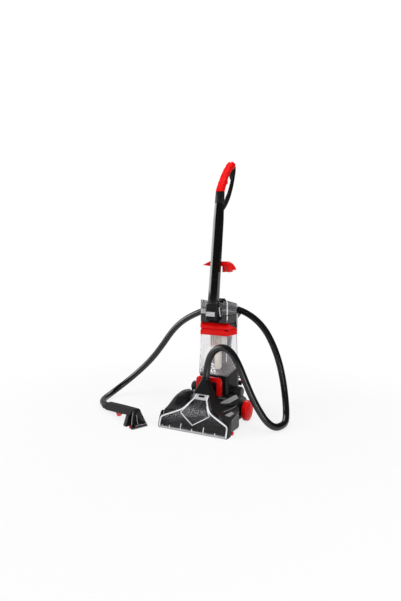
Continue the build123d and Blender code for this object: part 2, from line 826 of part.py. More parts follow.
with BuildPart() as motor_housing:
    extrude(body_plan(housing_base, housing_grow, body_back, housing_round), amount=neck_top + wall)
    extrude(seat_section(0, 3 * seat_z), amount=head_half, both=True, mode=Mode.SUBTRACT)
    fillet(motor_housing.faces().sort_by(Axis.Z)[0].edges(), 4 * edge_round)
    add(belly_form(0))
    add(belly_form(wall), mode=Mode.SUBTRACT)
    with Locations((0, pivot_y, pivot_z - belly_r)):
        with GridLocations(2 * (belly_half - 2 * wall) / belly_slots, 0, belly_slots, 1):
            Box(belly_slot_width, belly_r, belly_r / 2, mode=Mode.SUBTRACT)
    for side in sides:
        start = 0 if side > 0 else -notch_half + seam
        with BuildSketch(Plane.YZ.offset(start)):
            with Locations((pivot_y, pivot_z)):
                Circle(trunnion_shoulder_r)
        extrude(amount=notch_half - seam)
        start = 0 if side > 0 else -notch_half - tower_length - seam
        with BuildSketch(Plane.YZ.offset(start)):
            with Locations((pivot_y, pivot_z)):
                Circle(trunnion_r)
        extrude(amount=notch_half + tower_length + seam)
    add(motor_space.part, mode=Mode.SUBTRACT)
write(motor_housing, "motor_housing")

with BuildPart() as pivot_caps:
    for side in sides:
        inner = notch_half + tower_length + seam
        start = inner if side > 0 else -inner - pivot_cap_thick
        with BuildSketch(Plane.YZ.offset(start)):
            with Locations((pivot_y, pivot_z)):
                Circle(pivot_cap_r)
        extrude(amount=pivot_cap_thick)
    fillet(pivot_caps.edges().group_by(Axis.X)[0], 2 * edge_round)
    fillet(pivot_caps.edges().group_by(Axis.X)[-1], 2 * edge_round)
write(pivot_caps, "pivot_caps")

# Suction motor, its fan and the water pump inside the motor housing
fan_y = (body_front + body_back) / 2
suction_low = housing_base + wall
with BuildPart() as suction_motor:
    with BuildSketch(Plane.XY.offset(suction_low)):
        with Locations((0, fan_y)):
            Circle(motor_can_r)
    extrude(amount=fan_low - seam - suction_low)
    fillet(suction_motor.edges().group_by(Axis.Z)[-1], 4 * edge_round)
    with BuildSketch(Plane.XY.offset(suction_low + wall)):
        with Locations((0, fan_y)):
            Circle(fan_shaft_r + play)
    extrude(amount=fan_low, mode=Mode.SUBTRACT)
write(suction_motor, "suction_motor")

with BuildPart() as impeller:
    with BuildSketch(Plane.XY.offset(fan_low)):
        with Locations((0, fan_y)):
            Circle(fan_r)
    extrude(amount=wall)
    with BuildSketch(Plane.XY.offset(fan_low)):
        with Locations((0, fan_y)):
            Circle(3 * fan_shaft_r)
            with PolarLocations(fan_r / 2, fan_blades):
                Rectangle(fan_r - wall, wall, rotation=blade_slant)
    extrude(amount=5 * wall)
    with BuildSketch(Plane.XY.offset(suction_low + 2 * wall)):
        with Locations((0, fan_y)):
            Circle(fan_shaft_r)
    extrude(amount=fan_low - suction_low)
    with BuildSketch(Plane.XY.offset(fan_low)):
        with Locations((0, fan_y)):
            Circle(2 * fan_r)
            Circle(fan_r, mode=Mode.SUBTRACT)
    extrude(amount=6 * wall, mode=Mode.SUBTRACT)
write(impeller, "impeller")

with BuildPart() as water_pump:
    with Locations((-pump_x, fan_y + pump_size / 2, suction_low)):
        Box(pump_size, 2 * pump_size, pump_size, align=(Align.CENTER, Align.CENTER, Align.MIN))
    fillet(water_pump.edges().filter_by(Axis.Z), pump_round)
    with Locations((-pump_x, fan_y + pump_size / 2, suction_low + pump_size)):
        Cylinder(pump_spout_r, pump_spout, align=(Align.CENTER, Align.CENTER, Align.MIN))
write(water_pump, "water_pump")

# Tank tilt line: the tank rocks forwards about the front edge of its seat
tilt_y = body_front - tank_flare
tilt_z = seat_z + seat_rise * (tilt_y - body_front) + seam
lid_reach = lid_top - tilt_z


def tank_form(inset, top):
    # tank plan lofted from its flared foot to its mouth
    flare = tank_flare / (tank_top - seat_z)
    with BuildPart() as form:
        loft([body_plan(level, flare * (tank_top - level) - inset, tank_back, body_round)
              for level in (housing_base, top)])
        with BuildSketch(Plane.YZ):
            with Locations((tank_back - inset, tank_top)):
                Rectangle(tank_top, 3 * tank_top, align=(Align.MIN, Align.CENTER))
        extrude(amount=head_half, both=True, mode=Mode.SUBTRACT)
        extrude(seat_section(seam + inset, 3 * seat_z), amount=head_half, both=True, mode=Mode.INTERSECT)
    return form.part


tank_space = tank_form(tank_wall, tank_top + tank_wall)
with BuildPart() as dirty_tank:
    add(tank_form(0, tank_top))
    add(tank_space, mode=Mode.SUBTRACT)
write(dirty_tank, "dirty_tank")

# Tank lid with its carry grooves; its top is an arc about the tilt line
lid_inset = groove_depth + wall
with BuildPart() as lid_pockets:
    extrude(body_plan(tank_top, -lid_inset, tank_back, body_round / 2), amount=lid_pocket_high)
    Box(2 * cage_half + 2 * wall, 4 * tank_back, 4 * tank_top, mode=Mode.SUBTRACT)

with BuildPart() as tank_lid:
    extrude(body_plan(tank_top + seam / 3, edge_round, tank_back - edge_round, body_round), amount=lid_top)
    with BuildSketch(Plane.YZ):
        with Locations((tilt_y, tilt_z)):
            Circle(lid_reach)
    extrude(amount=head_half, both=True, mode=Mode.INTERSECT)
    with BuildSketch(Plane.YZ):
        with BuildLine():
            Polyline((body_front - 2 * edge_round, lid_top - lid_slope), (body_front + lid_slope, lid_top + 1),
                     (body_front - 2 * edge_round, lid_top + 1), close=True)
        make_face()
    extrude(amount=head_half, both=True, mode=Mode.SUBTRACT)
    extrude(body_plan(groove_z, 3 * groove_depth, tank_back, body_round)
            - body_plan(groove_z, edge_round - groove_depth, tank_back - edge_round,
                        body_round - groove_depth / 2),
            amount=groove_height, mode=Mode.SUBTRACT)
    for side in sides:
        with Locations((side * body_front_half, body_front, groove_z)):
            Box(notch_width, notch_width, 2 * groove_height, align=(Align.CENTER, Align.CENTER, Align.CENTER),
                mode=Mode.SUBTRACT)
    add(lid_pockets.part, mode=Mode.SUBTRACT)
write(tank_lid, "tank_lid")

# Air column inside the tank, the slotted cage on top of it and the float that shuts it
column_low = seat_z + seat_rise * (standpipe_y + standpipe_depth / 2 - body_front) + seam + 2 * tank_wall
float_seat = cage_low + wall
with BuildPart() as standpipe:
    with BuildSketch(Plane.XY.offset(seat_z)):
        with Locations((0, standpipe_y)):
            RectangleRounded(standpipe_width, standpipe_depth, 2 * wall)
    extrude(amount=cage_low - seat_z)
    extrude(seat_section(seam + tank_wall + seam / 3, 3 * seat_z), amount=head_half, both=True,
            mode=Mode.INTERSECT)
    with BuildSketch(Plane.XY.offset(column_low)):
        with Locations((0, standpipe_y)):
            RectangleRounded(standpipe_width - 2 * wall, standpipe_depth - 2 * wall, wall)
    extrude(amount=cage_low, mode=Mode.SUBTRACT)
    with Locations((0, standpipe_y, cage_low - 2 * window_high)):
        Box(2 * standpipe_width, standpipe_depth / 2, window_high, mode=Mode.SUBTRACT)
write(standpipe, "standpipe")

cage_high = tank_top + seam / 3
with BuildPart() as float_cage:
    with BuildSketch(Plane.XY.offset(cage_low)):
        with Locations((0, standpipe_y)):
            RectangleRounded(2 * cage_half, cage_depth, cage_round)
    extrude(amount=cage_high - cage_low)
    with BuildSketch(Plane.XY.offset(float_seat)):
        with Locations((0, standpipe_y)):
            Circle(float_r + 2 * seam)
    extrude(amount=cage_high, mode=Mode.SUBTRACT)
    with BuildSketch(Plane.XZ):
        with Locations((0, (float_seat + cage_high) / 2)):
            with GridLocations(4 * wall, 1, cage_slots, 1):
                Rectangle(2 * wall, cage_high - float_seat - 4 * wall)
    extrude(amount=-body_back, mode=Mode.SUBTRACT)
write(float_cage, "float_cage")

with BuildPart() as float_disc:
    with BuildSketch(Plane.XY.offset(float_seat + seam / 3)):
        with Locations((0, standpipe_y)):
            Circle(float_r)
    extrude(amount=float_height)
    fillet(float_disc.edges(), 2 * edge_round)
write(float_disc, "float_disc")

# Rear spine behind the tank: an air duct with a drawn-in waist
spine_front = tank_back + 2 * seam
spine_back = spine_front + spine_thick
skirt_z = tilt_z + sqrt(lid_reach ** 2 - (spine_front - tilt_y) ** 2)


def spine_form(inset):
    with BuildPart() as form:
        with BuildSketch(Plane.XZ.offset(-spine_front - inset)):
            with BuildLine():
                Line((0, seat_z), (spine_foot_half - inset, seat_z))
                ThreePointArc((spine_foot_half - inset, seat_z), (spine_waist - inset, spine_waist_z),
                              (spine_head_half - inset, skirt_z - inset))
                Line((spine_head_half - inset, skirt_z - inset), (0, skirt_z - inset))
                Line((0, skirt_z - inset), (0, seat_z))
            make_face()
            mirror(about=Plane.YZ)
        extrude(amount=-(spine_thick - 2 * inset))
        extrude(seat_section(seam / 3 + inset, 3 * seat_z), amount=head_half, both=True, mode=Mode.INTERSECT)
    return form.part


with BuildPart() as back_spine:
    add(spine_form(0))
    fillet(back_spine.edges().filter_by(GeomType.LINE).filter_by(Axis.X).group_by(Axis.Y)[-1], edge_round)
    add(spine_form(wall), mode=Mode.SUBTRACT)
write(back_spine, "back_spine")

# Pole axis and the planes square to it
pole_dir = Vector(0, sin(radians(pole_lean)), cos(radians(pole_lean)))


def pole_plane(level):
    return Plane(origin=(0, pole_y + (level - pole_z) * tan(radians(pole_lean)), level),
                 x_dir=(1, 0, 0), z_dir=pole_dir)


def pole_form(grow, low, high):
    # the pole's tapered section between two levels, grown all round
    with BuildPart() as form:
        for level in (low, high):
            share = (level - pole_low) / (pole_high - pole_low)
            width = pole_foot_width + share * (pole_head_width - pole_foot_width) + 2 * grow
            depth = pole_foot_depth + share * (pole_head_depth - pole_foot_depth) + 2 * grow
            with BuildSketch(pole_plane(level)):
                RectangleRounded(width, depth, pole_round + grow)
        loft()
    return form.part


with BuildPart() as handle_pole:
    add(pole_form(0, pole_low, pole_high))
    add(pole_form(-wall, pole_low, pole_high), mode=Mode.SUBTRACT)
write(handle_pole, "handle_pole")

collar_half = pole_foot_width / 2 + collar_wall
collar_depth = pole_foot_depth + 2 * collar_wall
with BuildPart() as pole_collar:
    with BuildSketch(pole_plane(pole_low)):
        RectangleRounded(2 * collar_half, collar_depth, pole_round)
    extrude(amount=(collar_high - pole_low) / cos(radians(pole_lean)))
    fillet(pole_collar.faces().sort_by(Axis.Z)[-1].edges(), edge_round)
    add(pole_form(seam / 3, pole_low - seam, pole_high), mode=Mode.SUBTRACT)
write(pole_collar, "pole_collar")

with BuildPart() as collar_plate:
    plate_plane = pole_plane(plate_low)
    with BuildSketch(plate_plane):
        with Locations((0, -collar_depth / 2)):
            Rectangle(2 * plate_half, plate_thick, align=(Align.CENTER, Align.MAX))
    extrude(amount=(plate_high - plate_low) / cos(radians(pole_lean)))
    fillet(collar_plate.faces().sort_by(Axis.Y)[0].edges(), plate_thick / 4)
write(collar_plate, "collar_plate")

# Upper housing over the lid; its underside is an arc about the tank's tilt line
recess_half = collar_half + seam


def upper_form(inset):
    with BuildPart() as form:
        extrude(body_plan(skirt_z + inset, -inset, body_back, body_round - inset),
                amount=housing_top - skirt_z - 2 * inset)
        with BuildSketch(Plane.YZ):
            with Locations((tilt_y, tilt_z)):
                Circle(lid_reach + 2 * seam + inset)
        extrude(amount=head_half, both=True, mode=Mode.SUBTRACT)
        with BuildSketch(pole_plane(pole_low)):
            Rectangle(2 * (recess_half + inset), collar_depth + 2 * (seam + inset))
        extrude(amount=housing_top, both=True, mode=Mode.SUBTRACT)
    return form.part


with BuildPart() as upper_housing:
    add(upper_form(0))
    add(upper_form(wall), mode=Mode.SUBTRACT)
    with BuildSketch(Plane.XY.offset(skirt_z)):
        with Locations((0, standpipe_y)):
            Circle(outlet_r)
    extrude(amount=(housing_top - skirt_z) / 2, mode=Mode.SUBTRACT)
write(upper_housing, "upper_housing")


# Clean water tank: smoke-coloured, peaked at its front corners, open in front for the pole
def clean_form(inset):
    low = housing_top + seam
    with BuildPart() as form:
        extrude(body_plan(low + inset, -inset, body_back, body_round - inset), amount=clean_peak - housing_top)
        with BuildSketch(Plane.XZ):
            with BuildLine():
                Polyline((0, low), (head_half, low), (head_half, clean_peak - inset),
                         (body_front_half, clean_peak - inset), (collar_half, clean_valley - inset),
                         (0, clean_valley - inset), close=True)
            make_face()
            mirror(about=Plane.YZ)
        extrude(amount=body_back, both=True, mode=Mode.INTERSECT)
        with BuildSketch(Plane.YZ):
            with BuildLine():
                Polyline((body_front, clean_peak - inset), (body_back, clean_back_top - inset),
                         (body_back, clean_peak + 1), (body_front, clean_peak + 1), close=True)
            make_face()
        extrude(amount=head_half, both=True, mode=Mode.SUBTRACT)
        with BuildSketch(pole_plane(pole_low)):
            Rectangle(2 * (recess_half + 1 + inset), collar_depth + 2 * (1 + inset))
        extrude(amount=housing_top, both=True, mode=Mode.SUBTRACT)
        with Locations((0, body_front, housing_top)):
            Box(2 * (recess_half + 1 + inset), pole_foot_depth + 2 * inset, clean_peak, mode=Mode.SUBTRACT)
    return form.part


# Filler neck: a ring through the sloped roof, flat on top, under a screw cap
roof_slope = (clean_peak - clean_back_top) / (body_back - body_front)
neck_foot = clean_back_top + roof_slope * (body_back - filler_y - filler_r) - 2 * clean_wall
neck_lip = clean_back_top + roof_slope * (body_back - filler_y + filler_r) + clean_wall
with BuildPart() as clean_tank:
    add(clean_form(0))
    add(clean_form(clean_wall), mode=Mode.SUBTRACT)
    for r, mode in ((filler_r, Mode.ADD), (filler_r - clean_wall, Mode.SUBTRACT)):
        with BuildSketch(Plane.XY.offset(neck_foot)):
            with Locations((0, filler_y)):
                Circle(r)
        extrude(amount=neck_lip - neck_foot, mode=mode)
write(clean_tank, "clean_tank")

with BuildPart() as filler_cap:
    with BuildSketch(Plane.XY.offset(neck_lip + seam)):
        with Locations((0, filler_y)):
            Circle(filler_r + clean_wall)
    extrude(amount=filler_height / 2)
    fillet(filler_cap.edges().group_by(Axis.Z)[-1], edge_round)
    with Locations((0, filler_y, neck_lip + filler_height / 2)):
        Box(2 * filler_r - clean_wall, 2 * clean_wall, filler_height / 2,
            align=(Align.CENTER, Align.CENTER, Align.MIN))
    with BuildSketch(Plane.XY.offset(neck_foot)):
        with Locations((0, filler_y)):
            Circle(filler_r - clean_wall - seam)
            Circle(filler_r - 2 * clean_wall - seam, mode=Mode.SUBTRACT)
    extrude(amount=neck_lip - neck_foot + 2 * seam)
write(filler_cap, "filler_cap")

# Grip: red front shell with a trigger pocket, black loop behind it
with BuildPart() as grip_front:
    with BuildSketch(Plane.YZ):
        with BuildLine():
            Spline(*grip_front_curve)
            Polyline(grip_front_curve[-1], grip_top_back, grip_back_curve[0])
            Spline(*grip_back_curve)
            Line(grip_back_curve[-1], grip_front_curve[0])
        make_face()
    extrude(amount=grip_half, both=True)
    for place in (0, -1):
        side_edges = grip_front.faces().sort_by(Axis.X)[place].edges().sort_by(Axis.Z)[1:]
        fillet(side_edges, grip_round)
    with BuildSketch(Plane.YZ):
        with BuildLine():
            Polyline(*trigger_pocket, close=True)
        make_face()
    extrude(amount=trigger_half + 4 * seam, both=True, mode=Mode.SUBTRACT)
    with BuildSketch(Plane.YZ):
        with Locations((trigger_pin_y, trigger_pin_z)):
            Circle(trigger_pin_r + play)
    extrude(amount=grip_half - wall, both=True, mode=Mode.SUBTRACT)
write(grip_front, "grip_front")

with BuildPart() as grip_loop:
    with BuildSketch(Plane.YZ):
        with BuildLine():
            Spline(*loop_outer_curve)
            Line(loop_outer_curve[-1], loop_inner_curve[-1])
            Spline(*loop_inner_curve)
            Line(loop_inner_curve[0], loop_outer_curve[0])
        make_face()
    extrude(amount=loop_half, both=True)
    fillet(grip_loop.edges().filter_by(GeomType.BSPLINE), loop_round)
write(grip_loop, "grip_loop")

with BuildPart() as trigger:
    with BuildSketch(Plane.YZ):
        with BuildLine():
            Polyline(*trigger_shape, close=True)
        make_face()
        fillet(vertices(), edge_round)
    extrude(amount=trigger_half, both=True)
    with BuildSketch(Plane.YZ):
        with Locations((trigger_pin_y, trigger_pin_z)):
            Circle(trigger_pin_r + play)
    extrude(amount=grip_half, both=True, mode=Mode.SUBTRACT)
write(trigger, "trigger")

with BuildPart() as trigger_pin:
    with BuildSketch(Plane.YZ):
        with Locations((trigger_pin_y, trigger_pin_z)):
            Circle(trigger_pin_r)
    extrude(amount=grip_half - wall, both=True)
write(trigger_pin, "trigger_pin")

# Tool hook: a winged shelf with two hanging posts, held on the back of the pole
with BuildPart() as tool_hook:
    with BuildSketch(Plane.XZ.offset(-hook_back)):
        with BuildLine():
            Line(hook_left_tip, (-hook_flat, hook_top))
            Line((-hook_flat, hook_top), (hook_flat, hook_top))
            ThreePointArc((hook_flat, hook_top), hook_shoulder, hook_right_tip)
            Polyline(hook_right_tip, hook_inner, (hook_flat, hook_under), (-hook_flat, hook_under),
                     hook_left_tip)
        make_face()
        for place in hook_posts:
            with Locations((place, hook_post_low)):
                Rectangle(hook_post_width, hook_under - hook_post_low + hook_post_width,
                          align=(Align.CENTER, Align.MIN))
    extrude(amount=hook_depth)
    fillet(tool_hook.faces().sort_by(Axis.Z)[-1].edges().filter_by(Axis.X), 2 * edge_round)
    with Locations((0, hook_back - hook_depth / 2, hook_under)):
        Box(pole_foot_width / 2, hook_depth, hook_top - hook_under - 2 * edge_round,
            align=(Align.CENTER, Align.MAX, Align.MIN))
    add(pole_form(seam / 3, pole_low, pole_high), mode=Mode.SUBTRACT)
write(tool_hook, "tool_hook")

# Rest for the hose behind the upper housing
rest_front = body_back + seam
with BuildPart() as hose_rest:
    with Locations((0, rest_front, rest_top)):
        Box(2 * body_back_half - 2 * body_round, rest_thick, rest_plate_high,
            align=(Align.CENTER, Align.MIN, Align.MAX))
    for side in sides:
        with BuildSketch(Plane.YZ.offset(side * rest_arm_x - rest_arm_width / 2)):
            with BuildLine():
                Polyline((rest_front, rest_top - rest_plate_high), (rest_front, rest_top),
                         (rest_tip_y - rest_lip, rest_top), (rest_tip_y - rest_lip, rest_top + rest_lip_high),
                         (rest_tip_y, rest_top + rest_lip_high), (rest_tip_y, rest_top - rest_thick),
                         close=True)
            make_face()
        extrude(amount=rest_arm_width)
write(hose_rest, "hose_rest")

# Recline pedal on the housing's back, on a pin between two lugs
housing_back = body_back + housing_grow
pedal_pin_y = housing_back + wall + pedal_thick / 2 + 2 * seam
lug_half = pedal_width / 2 + seam
lug_reach = pedal_pin_y - housing_back - seam
with BuildPart() as pedal_bracket:
    with Locations((pedal_x, housing_back + seam, pedal_z)):
        Box(2 * (lug_half + pedal_pin_r), wall, 2 * pedal_thick, align=(Align.CENTER, Align.MIN, Align.CENTER))
    with BuildSketch(Plane.YZ.offset(pedal_x - lug_half - pedal_pin_r)):
        with Locations((pedal_pin_y, pedal_z)):
            Circle(pedal_thick / 2)
            Rectangle(lug_reach, pedal_thick, align=(Align.MAX, Align.CENTER))
    extrude(amount=2 * (lug_half + pedal_pin_r))
    with Locations((pedal_x, housing_back + seam + wall, pedal_z)):
        Box(2 * lug_half, 2 * pedal_thick, 3 * pedal_thick, align=(Align.CENTER, Align.MIN, Align.CENTER),
            mode=Mode.SUBTRACT)
    with BuildSketch(Plane.YZ.offset(pedal_x - lug_half)):
        with Locations((pedal_pin_y, pedal_z)):
            Circle(pedal_pin_r)
    extrude(amount=2 * lug_half)
write(pedal_bracket, "pedal_bracket")

with BuildPart() as foot_pedal:
    with BuildSketch(Plane.YZ.offset(pedal_x - pedal_width / 2)):
        with Locations((pedal_pin_y, pedal_z)):
            Circle(pedal_thick / 2)
            Rectangle(pedal_reach, pedal_thick, align=(Align.MIN, Align.CENTER))
    extrude(amount=pedal_width)
    fillet(foot_pedal.faces().sort_by(Axis.Y)[-1].edges(), 2 * edge_round)
    with BuildSketch(Plane.YZ.offset(pedal_x - pedal_width)):
        with Locations((pedal_pin_y, pedal_z)):
            Circle(pedal_pin_r + play)
    extrude(amount=2 * pedal_width, mode=Mode.SUBTRACT)
write(foot_pedal, "foot_pedal")

# Outlet sleeve for the mains cord, and the screws that hold the spine
with BuildPart() as cord_gland:
    for r, length in ((gland_r, wall), (gland_r - wall, gland_length)):
        with BuildSketch(Plane.XZ.offset(-housing_back - seam)):
            with Locations((gland_x, gland_z)):
                Circle(r)
        extrude(amount=-length)
    with BuildSketch(Plane.XZ.offset(-housing_back - seam)):
        with Locations((gland_x, gland_z)):
            Circle(gland_bore)
    extrude(amount=-gland_length, mode=Mode.SUBTRACT)
write(cord_gland, "cord_gland")

with BuildPart() as spine_screws:
    for level in screw_levels:
        with BuildSketch(Plane.XZ.offset(-spine_back - seam / 3)):
            with Locations((-screw_x, level), (screw_x, level)):
                Circle(screw_r)
                Rectangle(screw_r, screw_slot, mode=Mode.SUBTRACT)
                Rectangle(screw_slot, screw_r, mode=Mode.SUBTRACT)
        extrude(amount=-screw_slot)
write(spine_screws, "spine_screws")

# Hose: bends as wide as the route allows
hose_points = [Vector(*point) for point in hose_route]
hose_bends = []
for before, corner, after in zip(hose_points, hose_points[1:], hose_points[2:]):
    run_in = corner - before
    run_out = after - corner
    half_turn = radians(run_in.get_angle(run_out)) / 2
    hose_bends.append(0.45 * min(run_in.length, run_out.length) / tan(half_turn))
print("hose bends", [round(bend) for bend in hose_bends])
with BuildLine() as hose_line:
    FilletPolyline(*hose_points, radius=hose_bends)
hose_path = hose_line.wires()[0]
with BuildPart() as hose:
    with BuildSketch(Plane(origin=hose_start, z_dir=hose_out)):
        Circle(hose_d / 2)
        Circle(hose_d / 2 - hose_wall, mode=Mode.SUBTRACT)
    sweep(path=hose_path)
hose_section = pi * (hose_d - hose_wall) * hose_wall
print("hose length", hose_path.length, "volume share", hose.part.volume / (hose_section * hose_path.length))
write(hose, "hose")

# Hand tool: side plane along its handle, plan planes across it
tool_foot = Vector(*tool_foot_place)
tool_dir = Vector(hose_route[-1][0], hose_route[-1][1], 0) - tool_foot
tool_dir = tool_dir.normalized()
tool_side = Plane(origin=tool_foot, x_dir=tool_dir, z_dir=(tool_dir.Y, -tool_dir.X, 0))


def tool_plan(along, level):
    # horizontal plane whose first axis runs along the handle
    return Plane(origin=tool_foot + tool_dir * along + Vector(0, 0, level), x_dir=tool_dir, z_dir=(0, 0, 1))


def fan_form(inset):
    # flat fan from the wide foot up to the narrow neck
    with BuildPart() as form:
        with BuildSketch(tool_plan(0, fan_low_z)):
            RectangleRounded(fan_depth - 2 * inset, 2 * (tool_foot_half - inset), fan_round)
        with BuildSketch(tool_plan(fan_lean, fan_high_z)):
            RectangleRounded(fan_depth - 2 * inset, 2 * (tool_neck_half - inset), fan_round)
        loft()
    return form.part


with BuildPart() as tool_nozzle:
    add(fan_form(0))
    add(fan_form(tool_wall), mode=Mode.SUBTRACT)
write(tool_nozzle, "tool_nozzle")


def tool_form(profile, half):
    with BuildPart() as form:
        with BuildSketch(tool_side):
            with BuildLine():
                Polyline(*profile, close=True)
            make_face()
        extrude(amount=half, both=True)
    return form.part


with BuildPart() as tool_shell:
    add(tool_form(tool_profile, tool_half))
    for place in (0, -1):
        flank = tool_shell.faces().sort_by(Axis(tool_foot, tool_side.z_dir))[place]
        fillet(flank.edges().filter_by(lambda edge: edge.length > 4 * tool_half), tool_round)
    add(tool_form(tool_duct, tool_half - 2 * tool_wall), mode=Mode.SUBTRACT)
    with BuildSketch(tool_plan(fan_lean, 0)):
        RectangleRounded(fan_depth - 2 * tool_wall, 2 * (tool_neck_half - 2 * tool_wall), fan_round)
    extrude(amount=fan_high_z + 2 * tool_wall, mode=Mode.SUBTRACT)
    add(tool_form(tool_pocket, trigger_half + 3 * seam), mode=Mode.SUBTRACT)
    with BuildSketch(tool_side):
        with Locations(tool_pin):
            Circle(tool_pin_r)
    extrude(amount=tool_half - tool_wall, both=True)
    with BuildSketch(tool_plan(shoe_top_along, shoe_top_z)):
        RectangleRounded(shoe_depth, 2 * tool_half, fan_round)
    with BuildSketch(tool_plan(shoe_foot_along, shoe_foot_z)):
        RectangleRounded(shoe_depth, 2 * shoe_half, fan_round)
    loft()
write(tool_shell, "tool_shell")

with BuildPart() as tool_trigger:
    with BuildSketch(tool_side):
        with BuildLine():
            Polyline(*tool_trigger_shape, close=True)
        make_face()
        fillet(vertices(), edge_round)
    extrude(amount=trigger_half, both=True)
    with BuildSketch(tool_side):
        with Locations(tool_pin):
            Circle(tool_pin_r + play)
    extrude(amount=tool_half, both=True, mode=Mode.SUBTRACT)
write(tool_trigger, "tool_trigger")

with BuildPart() as tool_brush:
    with BuildSketch(tool_plan(strip_along, strip_low)):
        Rectangle(strip_thick, 2 * tool_foot_half)
    extrude(amount=strip_high)
write(tool_brush, "tool_brush")

hose_last = Vector(*hose_route[-1]) - Vector(*hose_route[-2])
with BuildPart() as tool_cuff:
    with BuildSketch(Plane(origin=hose_route[-1], z_dir=hose_last)):
        Circle(hose_d / 2 + cuff_wall)
        Circle(hose_d / 2 + seam / 2, mode=Mode.SUBTRACT)
    extrude(amount=-hose_d)
write(tool_cuff, "tool_cuff")
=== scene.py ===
import json
import math
import bpy
from mathutils import Matrix, Vector


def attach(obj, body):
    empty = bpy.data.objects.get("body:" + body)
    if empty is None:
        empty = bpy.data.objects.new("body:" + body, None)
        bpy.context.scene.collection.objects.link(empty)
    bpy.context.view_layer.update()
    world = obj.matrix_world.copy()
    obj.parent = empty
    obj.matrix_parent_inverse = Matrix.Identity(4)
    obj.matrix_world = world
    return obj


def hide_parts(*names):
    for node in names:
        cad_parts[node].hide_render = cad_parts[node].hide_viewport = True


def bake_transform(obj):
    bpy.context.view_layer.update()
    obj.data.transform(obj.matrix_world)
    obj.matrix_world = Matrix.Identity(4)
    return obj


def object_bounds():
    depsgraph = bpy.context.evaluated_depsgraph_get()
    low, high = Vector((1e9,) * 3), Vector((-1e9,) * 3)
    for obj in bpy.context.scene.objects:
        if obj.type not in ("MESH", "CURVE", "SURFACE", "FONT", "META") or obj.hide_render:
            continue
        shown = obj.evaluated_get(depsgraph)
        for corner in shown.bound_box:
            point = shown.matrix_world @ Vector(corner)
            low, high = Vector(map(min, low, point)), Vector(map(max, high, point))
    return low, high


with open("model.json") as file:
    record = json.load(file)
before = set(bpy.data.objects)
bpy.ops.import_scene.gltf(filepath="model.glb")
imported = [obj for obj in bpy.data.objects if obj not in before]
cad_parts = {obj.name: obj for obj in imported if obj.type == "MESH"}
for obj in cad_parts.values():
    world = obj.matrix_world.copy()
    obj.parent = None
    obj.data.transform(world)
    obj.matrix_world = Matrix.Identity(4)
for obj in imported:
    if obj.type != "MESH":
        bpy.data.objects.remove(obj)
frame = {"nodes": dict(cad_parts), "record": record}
cadBox = [list(corner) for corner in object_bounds()]
nodes = frame["nodes"]
bodyOf = {node: body for body, members in frame["record"]["behaviour"]["bodies"].items()
          for node in members}
print("frame loaded:", len(nodes), "nodes")


def clearSelection():
    if bpy.context.object and bpy.context.object.mode != "OBJECT":
        bpy.ops.object.mode_set(mode="OBJECT")
    bpy.ops.object.select_all(action="DESELECT")


def pick(piece):
    clearSelection()
    piece.select_set(True)
    bpy.context.view_layer.objects.active = piece


# camera at the photograph's place
cameraView = {"spot": (0.945, -1.6805, 0.731), "toward": (0, 0.2233, 0.560), "focalShare": 511 / 601,
              "shiftX": -16.8 / 601, "shiftY": -15.8 / 601}
camera = bpy.data.objects.new("camera", bpy.data.cameras.new("camera"))
bpy.context.scene.collection.objects.link(camera)
camera.location = cameraView["spot"]
aim = Vector(cameraView["toward"]) - Vector(cameraView["spot"])
camera.rotation_euler = aim.to_track_quat("-Z", "Y").to_euler()
camera.data.lens = cameraView["focalShare"] * camera.data.sensor_width
camera.data.shift_x = cameraView["shiftX"]
camera.data.shift_y = cameraView["shiftY"]
bpy.context.scene.camera = camera
bpy.context.scene.view_settings.view_transform = "Standard"


# studio: pale floor, white surround, soft lamps
def link(tree, source, target):
    tree.links.new(source, target)


def lightPathMask(tree):
    path = tree.nodes.new("ShaderNodeLightPath")
    first = tree.nodes.new("ShaderNodeMath")
    first.operation = "MAXIMUM"
    second = tree.nodes.new("ShaderNodeMath")
    second.operation = "MAXIMUM"
    link(tree, path.outputs["Is Camera Ray"], first.inputs[0])
    link(tree, path.outputs["Is Transmission Ray"], first.inputs[1])
    link(tree, first.outputs[0], second.inputs[0])
    link(tree, path.outputs["Is Glossy Ray"], second.inputs[1])
    return second.outputs[0]


studio = {"ambient": 0.36, "roomDark": 0.06, "roomBright": 0.5, "roomSide": (-0.8, 0.6, 0.0),
          "roomStart": 0.3,
          "roomEnd": 0.85, "floorSize": 40, "floorColor": (0.86, 0.86, 0.86), "floorNear": 0.8,
          "fadeStart": 0.35, "fadeEnd": 1.5, "floorDrop": 0.0005, "floorRough": 0.9, "floorShine": 0.1}
world = bpy.data.worlds.new("studio")
bpy.context.scene.world = world
world.use_nodes = True
tree = world.node_tree
ambient = tree.nodes["Background"]
ambient.inputs["Color"].default_value = (1, 1, 1, 1)
ambient.inputs["Strength"].default_value = studio["ambient"]
white = tree.nodes.new("ShaderNodeBackground")
white.inputs["Color"].default_value = (1, 1, 1, 1)
room = tree.nodes.new("ShaderNodeBackground")  # what gloss mirrors: pale at the left, dim elsewhere
direction = tree.nodes.new("ShaderNodeTexCoord")
side = tree.nodes.new("ShaderNodeVectorMath")
side.operation = "DOT_PRODUCT"
side.inputs[1].default_value = studio["roomSide"]
backdrop = tree.nodes.new("ShaderNodeMapRange")
backdrop.interpolation_type = "SMOOTHSTEP"
backdrop.inputs["From Min"].default_value = studio["roomStart"]
backdrop.inputs["From Max"].default_value = studio["roomEnd"]
backdrop.inputs["To Min"].default_value = studio["roomDark"]
backdrop.inputs["To Max"].default_value = studio["roomBright"]
link(tree, direction.outputs["Generated"], side.inputs[0])
link(tree, side.outputs["Value"], backdrop.inputs["Value"])
link(tree, backdrop.outputs[0], room.inputs["Strength"])
path = tree.nodes.new("ShaderNodeLightPath")
direct = tree.nodes.new("ShaderNodeMath")
direct.operation = "MAXIMUM"
